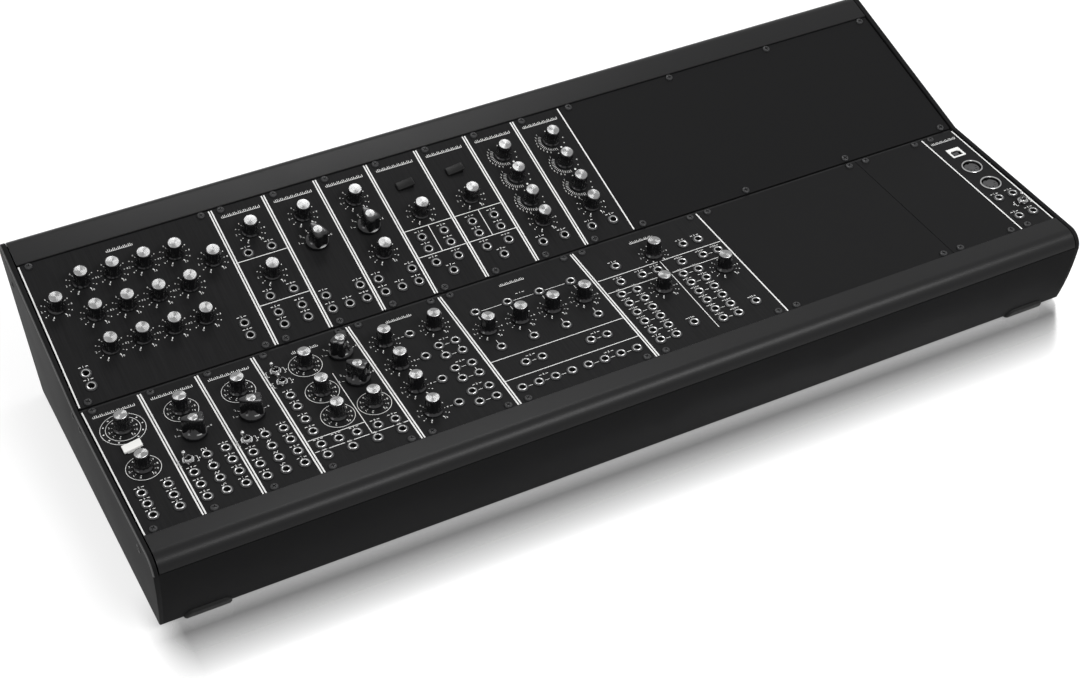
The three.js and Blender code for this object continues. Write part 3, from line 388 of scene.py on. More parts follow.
def flat_outline(outer, holes, bottom, top, edge=0.0):
    """A plate with holes: a flat filled curve, thickened and made a mesh, read back as a
    shell."""
    curve = bpy.data.curves.new("plate_outline", "CURVE")
    curve.dimensions, curve.fill_mode = "2D", "BOTH"
    curve.extrude = ((top - bottom) / 2 - edge) * MM
    curve.bevel_depth, curve.bevel_resolution, curve.offset = edge * MM, 0, -edge * MM
    for ring in [outer, *holes]:
        spline = curve.splines.new("POLY")
        spline.points.add(len(ring) - 1)
        flat = np.column_stack([ring * MM, np.zeros(len(ring)), np.ones(len(ring))])
        spline.points.foreach_set("co", flat.ravel())
        spline.use_cyclic_u = True
    return curve_shell(curve, (bottom + top) / 2)


def curve_shell(curve, middle):
    """The filled mesh of a curve in metres as a shell, with its doubles merged on a grid
    of micrometres, at a height."""
    source = bpy.data.objects.new("outline", curve)
    bpy.context.scene.collection.objects.link(source)
    mesh = bpy.data.meshes.new_from_object(
        source.evaluated_get(bpy.context.evaluated_depsgraph_get()))
    bpy.data.objects.remove(source)
    bpy.data.curves.remove(curve)
    points = np.empty(len(mesh.vertices) * 3)
    mesh.vertices.foreach_get("co", points)
    counts, starts = (np.empty(len(mesh.polygons), int) for _ in range(2))
    mesh.polygons.foreach_get("loop_total", counts)
    mesh.polygons.foreach_get("loop_start", starts)
    loops = np.empty(len(mesh.loops), int)
    mesh.loops.foreach_get("vertex_index", loops)
    bpy.data.meshes.remove(mesh)
    merged, number = np.unique(np.round(points.reshape(-1, 3) / (MM / 1000)).astype(int),
                               axis=0, return_inverse=True)
    faces = [number.reshape(-1)[loops[starts[counts == size][:, None] + np.arange(size)]]
             for size in np.unique(counts)]
    return merged / 1000 + [0, 0, middle], faces


# Pieces: shells gathered into one object

def polar_map(points, corners, centres):
    """Each corner's share of a turn round its disc's centre, and its distance from it in
    metres. A face keeps to one turn, and a pole lies midway between its neighbours."""
    if centres is None:
        return np.zeros((*corners.shape, 2))
    offset = (points[:, :2] - centres)[corners]
    turn = np.arctan2(offset[..., 1], offset[..., 0]) / math.tau
    turn -= np.round(turn - turn[:, 1:2])
    distance = np.hypot(offset[..., 0], offset[..., 1])
    pole = distance < 1 / 1000
    around = np.sum(np.where(pole, 0, turn), 1) / np.maximum(np.sum(~pole, 1), 1)
    return np.stack([np.where(pole, around[:, None], turn), distance * MM], -1)


class Piece:
    """Shells that become one object, each with the number of its finish."""

    def __init__(self, name):
        self.name = name
        self.points, self.faces, self.finishes, self.maps, self.count = [], [], [], [], 0

    def add(self, shell, finish=0, centres=None):
        """Adds a shell with one finish, or a list of one for each of its arrays of faces.
        Spun metal also gets the centre of each point's disc."""
        points, faces = shell
        numbers = finish if isinstance(finish, list) else [finish] * len(faces)
        for corners, number in zip(faces, numbers):
            self.maps.append(polar_map(points, corners, centres).reshape(-1, 2))
            self.faces.append(corners + self.count)
            self.finishes.append(np.broadcast_to(number, len(corners)))
        self.points.append(points)
        self.count += len(points)
        return self

    def fit(self, shell, places, finish=0, turns=0.0, spun=False):
        """Adds copies of a shell at their places, as discs of spun metal or plain."""
        places = np.atleast_2d(np.asarray(places, float))
        centres = np.repeat(places[:, :2], len(shell[0]), 0) if spun else None
        return self.add(repeated(shell, places, turns), finish, centres)

    def build(self, finishes, body, slot, replaced=(), face=None, sharp=32):
        """Makes the object, with its place in its mesh, and sets it on its body."""
        points = np.concatenate(self.points)
        loops = np.concatenate([corners.ravel() for corners in self.faces])
        sizes = np.concatenate([np.full(len(corners), corners.shape[1])
                                for corners in self.faces])
        mesh = bpy.data.meshes.new(self.name)
        mesh.vertices.add(len(points))
        mesh.vertices.foreach_set("co", (face.place(points) if face else points).ravel())
        mesh.loops.add(len(loops))
        mesh.loops.foreach_set("vertex_index", loops.astype(np.int32))
        mesh.polygons.add(len(sizes))
        mesh.polygons.foreach_set("loop_start", (np.cumsum(sizes) - sizes).astype(np.int32))
        mesh.polygons.foreach_set("use_smooth", np.ones(len(sizes), bool))
        mesh.polygons.foreach_set("material_index",
                                  np.concatenate(self.finishes).astype(np.int32))
        mesh.uv_layers.new(name="spun").data.foreach_set(
            "uv", np.concatenate(self.maps).ravel())
        for name in finishes:
            mesh.materials.append(bpy.data.materials[name])
        mesh.update(calc_edges=True)
        mesh.validate()
        mesh.set_sharp_from_angle(angle=math.radians(sharp))
        piece = bpy.data.objects.new(self.name, mesh)
        bpy.context.scene.collection.objects.link(piece)
        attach(piece, body)
        if replaced:
            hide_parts(*replaced)


# Finishes

def add_node(tree, kind, inputs, **settings):
    """A node with its settings. An input gets a plain value, or the socket that feeds it."""
    made = tree.nodes.new(kind)
    for name, value in settings.items():
        setattr(made, name, value)
    for name, value in inputs.items():
        if isinstance(value, bpy.types.NodeSocket):
            tree.links.new(value, made.inputs[name])
        else:
            made.inputs[name].default_value = value
    return made


def new_group(name, inputs):
    """A shader node group that gives a colour, a roughness and a height: the group, the
    sockets that come into it, and its output node."""
    group = bpy.data.node_groups.new(name, "ShaderNodeTree")
    for label, value in inputs.items():
        kind = "NodeSocketColor" if isinstance(value, tuple) else "NodeSocketFloat"
        socket = group.interface.new_socket(label, in_out="INPUT", socket_type=kind)
        socket.default_value = value
    for label in ("Color", "Roughness", "Height"):
        kind = "NodeSocketColor" if label == "Color" else "NodeSocketFloat"
        group.interface.new_socket(label, in_out="OUTPUT", socket_type=kind)
    return (group, group.nodes.new("NodeGroupInput").outputs,
            group.nodes.new("NodeGroupOutput"))


def math_node(tree, operation, *values):
    """The result of a sum or product of values and sockets."""
    return add_node(tree, "ShaderNodeMath", dict(enumerate(values)),
                    operation=operation).outputs[0]


def spread_out(tree, centre, noise, spread):
    """The centre value plus the noise, taken from minus half to half, times the spread."""
    swing = math_node(tree, "MULTIPLY", math_node(tree, "SUBTRACT", noise, 0.5), spread)
    return math_node(tree, "ADD", centre, swing)


def surface_group(group, given, result, marks, slow, spread):
    """Finishes a group: the marks move the colour and give the height, and a slower noise
    moves the roughness by its spread."""
    shade = spread_out(group, 1.0, marks, given["Color Spread"])
    tinted = add_node(group, "ShaderNodeVectorMath", {0: given["Color"], "Scale": shade},
                      operation="SCALE").outputs[0]
    roughness = spread_out(group, given["Roughness"], slow, spread)
    for label, socket in (("Color", tinted), ("Roughness", roughness), ("Height", marks)):
        group.links.new(socket, result.inputs[label])
    return group


def fine_grain_group():
    """Fine grain over slow cloudiness. A brushing below one draws the grain out into
    streaks across the row."""
    group, given, result = new_group("fine_grain", {
        "Color": (0.5, 0.5, 0.5, 1.0), "Roughness": 0.5, "Grain Scale": 900.0,
        "Cloud Scale": 30.0, "Color Spread": 0.2, "Roughness Spread": 0.1, "Brushing": 1.0})
    where = group.nodes.new("ShaderNodeTexCoord").outputs["Object"]
    drawn = add_node(group, "ShaderNodeCombineXYZ", {
        0: 1.0, 1: given["Brushing"], 2: given["Brushing"]}).outputs[0]
    brushed = add_node(group, "ShaderNodeVectorMath", {0: where, 1: drawn},
                       operation="MULTIPLY").outputs[0]
    grain = add_node(group, "ShaderNodeTexNoise", {
        "Vector": brushed, "Scale": given["Grain Scale"], "Detail": 3.0,
        "Roughness": 0.6}).outputs["Fac"]
    clouds = add_node(group, "ShaderNodeTexNoise", {
        "Vector": where, "Scale": given["Cloud Scale"], "Detail": 2.0}).outputs["Fac"]
    return surface_group(group, given, result, grain, clouds, given["Roughness Spread"])


def spun_rings_group():
    """Turning marks of a spun disc: noise along the distance from the disc's centre."""
    group, given, result = new_group("spun_rings", {
        "Color": (0.8, 0.8, 0.8, 1.0), "Roughness": 0.3, "Ring Scale": 9000.0,
        "Color Spread": 0.1})
    polar = add_node(group, "ShaderNodeUVMap", {}, uv_map="spun")
    distance = add_node(group, "ShaderNodeSeparateXYZ", {0: polar.outputs[0]}).outputs[1]
    rings = add_node(group, "ShaderNodeTexNoise", {
        "W": math_node(group, "MULTIPLY", distance, given["Ring Scale"]),
        "Scale": 1.0, "Detail": 2.0}, noise_dimensions="1D").outputs["Fac"]
    return surface_group(group, given, result, rings, rings, 0.12)


def finish(name, base, group, inputs, depth, **plain):
    """A material: the group's colour, roughness and height feed the shader, and what is
    the same all over is set on the shader's own sockets."""
    material = bpy.data.materials.new(name)
    material.use_nodes = True
    material.diffuse_color = (*base, 1.0)
    tree = material.node_tree
    shader = tree.nodes["Principled BSDF"]
    surface = add_node(tree, "ShaderNodeGroup", {"Color": (*base, 1.0), **inputs},
                       node_tree=group)
    bump = add_node(tree, "ShaderNodeBump", {
        "Height": surface.outputs["Height"], "Strength": 1.0, "Distance": depth * MM})
    tree.links.new(surface.outputs["Color"], shader.inputs["Base Color"])
    tree.links.new(surface.outputs["Roughness"], shader.inputs["Roughness"])
    tree.links.new(bump.outputs[0], shader.inputs["Normal"])
    for label, value in plain.items():
        shader.inputs[label.replace("_", " ")].default_value = value
    return material


def make_finishes(colours):
    """All finishes of the object. Grain scales are per metre and depths in millimetres."""
    grain, spun = fine_grain_group(), spun_rings_group()

    def grained(name, base, roughness, depth, scale, specular=0.5, tone=0.25, gloss=0.08,
                brushing=1.0, **plain):
        finish(name, tuple(base), grain, {
            "Roughness": roughness, "Grain Scale": scale, "Color Spread": tone,
            "Roughness Spread": gloss, "Brushing": brushing}, depth,
            Specular_IOR_Level=specular, **plain)

    grained("powder_coat", colours.case_paint, 0.5, 0.012, 1400, 0.025)
    # Painted highlight: a lighter colour on the rim's rounding, over a really glossier surface
    grained("rim_coat", colours.rim, 0.35, 0.004, 1400)
    grained("sheet_coat", colours.case_paint, 0.5, 0.012, 1400, 0.01)
    grained("satin_paint", colours.rail_paint, 0.34, 0.008, 1400, 0.13, gloss=0.05)
    grained("panel_black", colours.panel, 0.5, 0.006, 1000, 0.04, tone=0.9, brushing=0.03)
    grained("blank_black", colours.blank, 0.5, 0.006, 1800, 0.04, tone=0.4)
    grained("white_ink", colours.ink, 0.5, 0.002, 3000, 0.1, tone=0.06)
    grained("gloss_black", colours.knob, 0.18, 0.002, 500, 0.3, gloss=0.05,
            Coat_Weight=0.2, Coat_Roughness=0.08)
    grained("black_plating", colours.nut, 0.34, 0.003, 2500, Metallic=0.6)
    grained("bright_plating", colours.bright, 0.2, 0.002, 2500, tone=0.1, Metallic=1.0)
    grained("screw_black", colours.nut, 0.38, 0.004, 2500, 0.3, Metallic=0.35)
    grained("white_plastic", colours.white, 0.4, 0.003, 1500, 0.3, tone=0.04)
    grained("dark_plastic", colours.dark, 0.45, 0.004, 1500, 0.15)
    grained("core_plastic", colours.core, 0.5, 0.004, 1500, 0.2)
    grained("rocker_black", colours.dark, 0.3, 0.006, 2200, 0.1)
    grained("foot_rubber", colours.rubber, 0.62, 0.02, 1200, 0.1)
    grained("solder_mask", colours.board, 0.35, 0.01, 600)
    disc = finish("spun_metal", tuple(colours.spun), spun,
                  {"Roughness": 0.24, "Color Spread": 0.25}, 0.002, Metallic=1.0,
                  Anisotropic=1.0).node_tree
    tangent = add_node(disc, "ShaderNodeTangent", {}, direction_type="UV_MAP", uv_map="spun")
    disc.links.new(tangent.outputs[0], disc.nodes["Principled BSDF"].inputs["Tangent"])


# Places

def corner(node, which):
    """A node's lowest or highest corner, in metres."""
    return np.array(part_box(node)[which])


ROW_START = np.array([corner("driver_module", 0)[0] - PANEL_GAP / 2 * MM,
                      corner("wide_blank_panel", 0)[1], corner("wide_blank_panel", 1)[2]])
UPPER_START = np.array([
    ROW_START[0], corner("upper_blank_panel", 0)[1],
    corner("upper_blank_panel", 1)[2] - PANEL_HEIGHT * MM * math.sin(ROW_TILT)])


class Face:
    """A flat face: its start in the object's frame, and its directions u, v and n."""

    def __init__(self, start, *axes):
        self.start, self.axes = np.array(start), np.array(axes)

    def place(self, points):
        """Points given along u, v and n, in the object's frame."""
        return self.start + np.asarray(points, float) * MM @ self.axes

    def joint_place(self, joint):
        """A joint's place along u and v."""
        return (self.axes @ (np.array(joint["pos_m"]) - self.start))[:2] / MM


LOWER = Face(ROW_START, (1, 0, 0), (0, 1, 0), (0, 0, 1))
UPPER = Face(UPPER_START, (1, 0, 0), (0, math.cos(ROW_TILT), math.sin(ROW_TILT)),
             (0, -math.sin(ROW_TILT), math.cos(ROW_TILT)))
FACES = {"lower": LOWER, "upper": UPPER}


class SideView:
    """The case seen from its left end: y to the back and z up, counted from the front
    edge of the lower panels' faces. An inset moves a line into the case."""

    def __init__(self, case):
        self.case = case
        self.slope = np.array([math.cos(ROW_TILT), math.sin(ROW_TILT)])
        self.rear_down = np.array([-math.sin(case.rear_lean), -math.cos(case.rear_lean)])
        self.rear_out = np.array([math.cos(case.rear_lean), -math.sin(case.rear_lean)])
        self.rear_top = self.upper(PANEL_HEIGHT + case.rear_reach, case.rim_rise)
        self.nose_centre = np.array([case.nose_radius - case.front_reach,
                                     case.rim_rise - case.nose_radius])
        self.bow_angle = math.pi + case.bow_start
        self.bow_centre = self.nose_centre + (case.nose_radius - case.bow_radius) * np.array(
            [math.cos(self.bow_angle), math.sin(self.bow_angle)])

    def upper(self, v, n):
        """A point of the upper row, from its distance up the panels and out of them."""
        start = np.array([PANEL_HEIGHT + self.case.row_space, self.case.row_rise])
        return start + v * self.slope + n * np.array([-self.slope[1], self.slope[0]])

    def rear(self, drop, inset=0.0):
        """A point of the rear face, from its distance below the rear corner."""
        return self.rear_top + drop * self.rear_down - inset * self.rear_out

    def rear_corner(self, inset):
        """Where the upper rim's line meets the rear face's line."""
        return crossing(self.upper(0, self.case.rim_rise - inset), self.slope,
                        self.rear(0, inset), self.rear_down)

    def rear_base(self, inset):
        """Where the base's line meets the rear face's line."""
        return crossing((0, inset - self.case.height), (1, 0), self.rear(0, inset),
                        self.rear_down)

    def kink(self, inset):
        """Where the rims of the lower and the upper row meet."""
        return crossing((0, self.case.rim_rise - inset), (1, 0),
                        self.upper(0, self.case.rim_rise - inset), self.slope)

    def nose(self, inset, start, end, steps):
        """An arc of the nose, from angles counted from straight up."""
        return arc(self.nose_centre, self.case.nose_radius - inset, math.pi / 2 + start,
                   math.pi / 2 + end, steps)

    def bow_at(self, height, inset):
        """The angle at which the bowed front face reaches a height."""
        return math.pi - math.asin((height - self.bow_centre[1])
                                   / (self.case.bow_radius - inset))

    def front_face(self, inset, steps=10):
        """The bowed front face with its rounded lower edge."""
        case = self.case
        face = arc(self.bow_centre, case.bow_radius - inset, self.bow_angle,
                   self.bow_at(inset - case.height, inset), steps)
        round_end = rounded(face[-2], face[-1], self.rear_base(inset),
                            max(case.base_round - inset, case.base_round / 10), 5)
        return np.concatenate([face[:-1], round_end])

    def below_seams(self, inset):
        """From the seam under the front lip, round the base, to the seam on the rear."""
        case = self.case
        start = case.lip_seam + case.seam_angle
        front = self.front_face(inset)
        return np.concatenate([
            self.nose(inset, start, math.pi / 2 + case.bow_start, 4)[:-1], front,
            rounded(front[-1], self.rear_base(inset), self.rear(0, inset),
                    case.rear_base_round - inset, 6),
            [self.rear(case.rear_lip_drop + case.seam, inset)]])

    def above_seams(self, inset):
        """From the rear lip's lower edge, over the rims, to the seam under the front lip."""
        case = self.case
        return np.concatenate([
            [self.rear(case.rear_lip_drop, inset)],
            rounded(self.rear(case.rear_lip_drop, inset), self.rear_corner(inset),
                    self.kink(inset), case.rear_round - inset, 12),
            [self.kink(inset)], self.nose(inset, 0, case.lip_seam, 20)])

    def outline(self, inset, upper_inset=None):
        """The whole outline, with an inset of its own above the seams."""
        above = inset if upper_inset is None else upper_inset
        return np.concatenate([self.below_seams(inset), self.above_seams(above)])


def along_row(outline, x):
    """An outline of the side view as a ring of points in the object's frame, at a
    distance along the row. The distance is one number, or one for each point."""
    return np.column_stack([np.broadcast_to(x, len(outline)), outline]) * MM + ROW_START


def bar(outline, start=0.0, end=ROW_WIDTH):
    """An outline carried along the row."""
    return loft([along_row(outline, start), along_row(outline, end)])


def end_wall(view, side):
    """An end wall: the outline is carried outwards, and drawn in round the rim by one
    minus the sine, and moved out by the cosine, of an angle. The outer face leans by the
    draft. Side is -1 at the left end and 1 at the right end. The rounding of the rim over
    the upper edge and the nose, not along the base, gets a lighter, glossier finish of
    its own: a painted highlight."""
    case = view.case

    def ring(outline, outside, turned_in):
        height = outline[:, 1] - case.rim_rise
        reach = case.side_gap + (case.wall + height * math.tan(case.wall_draft)) * outside
        x = ROW_WIDTH + reach if side > 0 else -reach
        return along_row(outline, x + side * turned_in)

    rings = [ring(view.outline(case.rim_round * (1 - math.sin(turn))), 1.0,
                  case.rim_round * (math.cos(turn) - 1))
             for turn in np.linspace(0, math.pi / 2, 7)]
    rings += [ring(view.outline(0, case.rim_crease * (1 - math.cos(turn))), 0.0,
                   case.rim_crease * (1 - math.sin(turn)))
              for turn in np.linspace(0, math.pi / 2, 4)]
    rim_highlight_bands = np.zeros((len(rings) - 1, len(rings[0])), int)
    # Rim faces above the seams take the lighter finish, a painted highlight
    rim_highlight_bands[:6, len(view.below_seams(0)):] = 1
    return loft(rings), [rim_highlight_bands.ravel(), 0, 0]


def foot_sheet(case, path, normals, along):
    """A foot's outer sheet over its inner one. A point lies on the path, moved along the
    path's normal by the foot's thickness, which falls off in a quarter circle at the
    foot's edges, and across the foot by a share of its width there."""
    across = np.sin(np.linspace(-math.pi / 2, math.pi / 2, 15))
    lengths = run_lengths(path)
    edge = quarter((1 - np.abs(across)) * case.foot_width / (2 * case.foot_proud))
    ends = quarter(np.minimum(lengths, lengths[-1] - lengths) / case.foot_proud)
    width = case.foot_width / 2 - case.foot_round * (1 - quarter(lengths / case.foot_round))
    rise = case.foot_proud * ends[:, None] * edge
    half = along + width[:, None] * across
    outer, inner = (
        np.concatenate([half[..., None], path[:, None] + normals[:, None] * lift[..., None]],
                       -1) * MM + ROW_START
        for lift in (rise, np.full_like(rise, -case.foot_proud / 4)))
    return loft(np.concatenate([outer, inner[:, ::-1]], 1))


def foot(view, at_rear, along):
    """A foot that wraps the lower edge of the front or the rear face. Its path climbs
    down the face, goes round the edge and runs along the base."""
    case = view.case
    top = case.foot_climb - case.height
    if at_rear:
        drop = (view.rear_top[1] - top) / -view.rear_down[1]
        turn = rounded(view.rear(0), view.rear_base(0), (0, -case.height),
                       case.rear_base_round, 6)
        path, side = [view.rear(drop), *turn], 1
    else:
        bow = arc(view.bow_centre, case.bow_radius, view.bow_at(top, 0),
                  view.bow_at(-case.height, 0), 10)
        turn = rounded(bow[-2], bow[-1], view.rear_base(0), case.base_round, 6)
        path, side = [*bow[:-1][bow[:-1, 1] > turn[0][1]], *turn], -1
    path.append(path[-1] - [side * case.foot_run, 0])
    path = resampled(np.array(path), 36)
    slopes = np.gradient(path, axis=0)
    slopes /= np.linalg.norm(slopes, axis=1)[:, None]
    normals = np.column_stack([-slopes[:, 1], slopes[:, 0]]) * side
    return foot_sheet(case, path, normals, along)


def resampled(path, count):
    """Points along a path, closer together towards both ends: the shares of its length
    follow half of one minus the cosine."""
    lengths = run_lengths(path)
    shares = (1 - np.cos(np.linspace(0, math.pi, count))) / 2 * lengths[-1]
    return np.column_stack([np.interp(shares, lengths, path[:, k]) for k in range(2)])


class SYNTH_OT_case(bpy.types.Operator):
    """Makes the case tub with its end walls, its sheet and its four rubber feet"""
    bl_idname = "synth.case"
    bl_label = "Case"

    def execute(self, context):
        case = in_millimetres(context.scene.synth_case)
        view = SideView(case)
        tub = Piece("case_shell")
        for side in (-1, 1):
            tub.add(*end_wall(view, side))
        sheet = np.concatenate([view.below_seams(0), view.below_seams(case.sheet)[::-1]])
        tub.add(bar(sheet, -case.side_gap, ROW_WIDTH + case.side_gap), 2)
        tub.build(["powder_coat", "rim_coat", "sheet_coat"], "case", "case_paint", ["case_tub"])
        feet = Piece("rubber_feet")
        middle = case.foot_inset + case.foot_width / 2
        for along in (middle, ROW_WIDTH - middle):
            for at_rear in (False, True):
                feet.add(foot(view, at_rear, along))
        feet.build(["foot_rubber"], "case", "case_paint", ["case_tub"], sharp=50)
        return {"FINISHED"}


class SYNTH_OT_rails(bpy.types.Operator):
    """Makes the front and rear lips with their rails, and finishes the middle rail and
    the distribution board"""
    bl_idname = "synth.rails"
    bl_label = "Rails"

    def execute(self, context):
        case = in_millimetres(context.scene.synth_case)
        view = SideView(case)
        skin, gap, rise = case.lip_skin, case.edge_gap, case.rim_rise
        ledge = -PANEL_THICKNESS - case.seat_gap
        bottom, edge, end = ledge - case.rail_depth, PANEL_HEIGHT + gap, case.rear_lip_drop
        front = np.concatenate([
            view.nose(0, 0, case.lip_seam, 24), view.nose(skin, 0, case.lip_seam, 24)[::-1],
            [(-gap - skin, rise - skin), (-gap - skin, bottom), (case.ledge, bottom),
             (case.ledge, ledge), (-gap, ledge), (-gap, rise - skin / 6),
             (-gap - skin / 6, rise)]])
        outer = rounded(view.upper(edge, rise), view.rear_corner(0), view.rear(end),
                        case.rear_round, 14)
        inner = rounded(view.upper(edge, rise - skin), view.rear_corner(skin),
                        view.rear(end, skin), case.rear_round - skin, 14)
        rear = np.concatenate([
            [view.upper(*place) for place in (
                (edge, ledge), (PANEL_HEIGHT - case.ledge, ledge),
                (PANEL_HEIGHT - case.ledge, bottom), (edge + skin, bottom),
                (edge + skin, rise - skin))],
            inner, [view.rear(end, skin), view.rear(end)], outer[::-1],
            [view.upper(edge + skin / 6, rise), view.upper(edge, rise - skin / 6)]])
        for label, outline in (("front", front), ("rear", rear)):
            Piece(f"{label}_lip").add(bar(outline)).build(
                ["satin_paint"], "case", "rail_paint", [f"{label}_rail"])
        for node, material in (("middle_rail", "satin_paint"), ("bus_board", "solder_mask")):
            frame["nodes"][node].material_slots[0].material = bpy.data.materials[material]
        return {"FINISHED"}


# Panel layout: a place is a column in width units and a row as a share of the height

TOP_KNOB_SHARE = 0.779
KNOB_PITCH_SHARE = 0.2054
LOW_JACK_SHARE = 0.1128
JACK_PITCH_SHARE = 0.086
WIDE_PITCH_SHARE = 0.0953
COLUMN, PAIR, TRIO = 2.5, 1.75, 2.58
NARROW_MIDDLE, BANK_MIDDLE, WIDE_MIDDLE, DUAL_UNITS, MIDI_MIDDLE = 4, 14, 10.5, 14, 3
BANK_COLUMN, BANK_PITCH_SHARE = 4.5, 0.235
COUPLER_LOW_KNOB_SHARE, COUPLER_JACK_DROP_SHARE = 0.46, 0.1432
AMPLIFIER_ROCKER_SHARE, AMPLIFIER_KNOB_SHARE = 0.772, 0.5572
AMPLIFIER_JACK_SHARES = (0.3907, 0.3004, 0.1977)
ENVELOPE_SHARES = (0.5977, 0.4148, 0.2553)
DRIVER_LOW_KNOB_SHARE = 0.4584
DUAL_KNOB_SHARES = (0.8054, 0.5728, 0.3642)
DUAL_TOGGLE_SHARES = (0.8241, 0.73)
DUAL_EDGE_SHARES = (0.6148, 0.5191, 0.4093, 0.3082)
DUAL_LOW_COLUMNS = (1.75, 4.23, 6.75, 9.74, 12.22)
MIXER_KNOB, MIXER_PAIR, QUAD_SPREAD_SHARE = 3.25, 9.49, 0.0447
ATTENUATOR_STEP, ATTENUATOR_PAIRS = 5, (4.49, 14.49)
HALF_WIDTH, INTERFACE_COLUMN, INTERFACE_PAIR = 10, 1.95, 6.69
INTERFACE_INPUT_SHARE, INTERFACE_KNOB_SHARE = 0.6412, 0.4872
INTERFACE_TOP_COLUMNS = (4.27, 15.41, 17.92)
MIDI_JACK, MIDI_UPPER_JACK_SHARE = 1.26, 0.3058


def knob_row(step):
    """The row of a knob: so many knob pitches below the top one."""
    return TOP_KNOB_SHARE - step * KNOB_PITCH_SHARE


def jack_row(step):
    """The row of a jack: so many jack pitches above the lowest one."""
    return LOW_JACK_SHARE + step * JACK_PITCH_SHARE


def wide_row(step):
    """The row of a jack on a panel whose jacks are farther apart."""
    return LOW_JACK_SHARE + step * WIDE_PITCH_SHARE


def lattice(columns, rows):
    """Every column in every row."""
    return [(column, row) for row in rows for column in columns]


def both(middle, spread):
    """A pair of places on both sides of a middle."""
    return [middle - spread, middle + spread]


AMPLIFIER = {
    "rockers": [(NARROW_MIDDLE, AMPLIFIER_ROCKER_SHARE)],
    "knobs": [(NARROW_MIDDLE, AMPLIFIER_KNOB_SHARE)],
    "jacks": lattice(both(NARROW_MIDDLE, PAIR), AMPLIFIER_JACK_SHARES)
    + [(NARROW_MIDDLE, LOW_JACK_SHARE)],
}
ENVELOPE = {
    "knobs": lattice([NARROW_MIDDLE], [TOP_KNOB_SHARE, *ENVELOPE_SHARES]),
    "jacks": lattice(both(NARROW_MIDDLE, PAIR), [LOW_JACK_SHARE]),
}
SELECTOR_JACKS = lattice(both(NARROW_MIDDLE, TRIO), [wide_row(1), wide_row(0)]) + [
    (NARROW_MIDDLE, wide_row(0))]
OSCILLATOR = {
    "knobs": [(NARROW_MIDDLE, TOP_KNOB_SHARE)],
    "pointers": [(NARROW_MIDDLE, knob_row(1))],
    "toggles": [(1.476, wide_row(3))],
    "jacks": lattice([NARROW_MIDDLE, NARROW_MIDDLE + TRIO], map(wide_row, range(4)))
    + lattice([NARROW_MIDDLE - TRIO], map(wide_row, range(3))),
}
BANK_COLUMNS = [BANK_MIDDLE + step * BANK_COLUMN for step in (-2.5, -1.5, -0.5, 0.5, 1.5, 2.5)]
ATTENUATOR_COLUMNS = [WIDE_MIDDLE + (step - 1.5) * ATTENUATOR_STEP for step in range(4)]
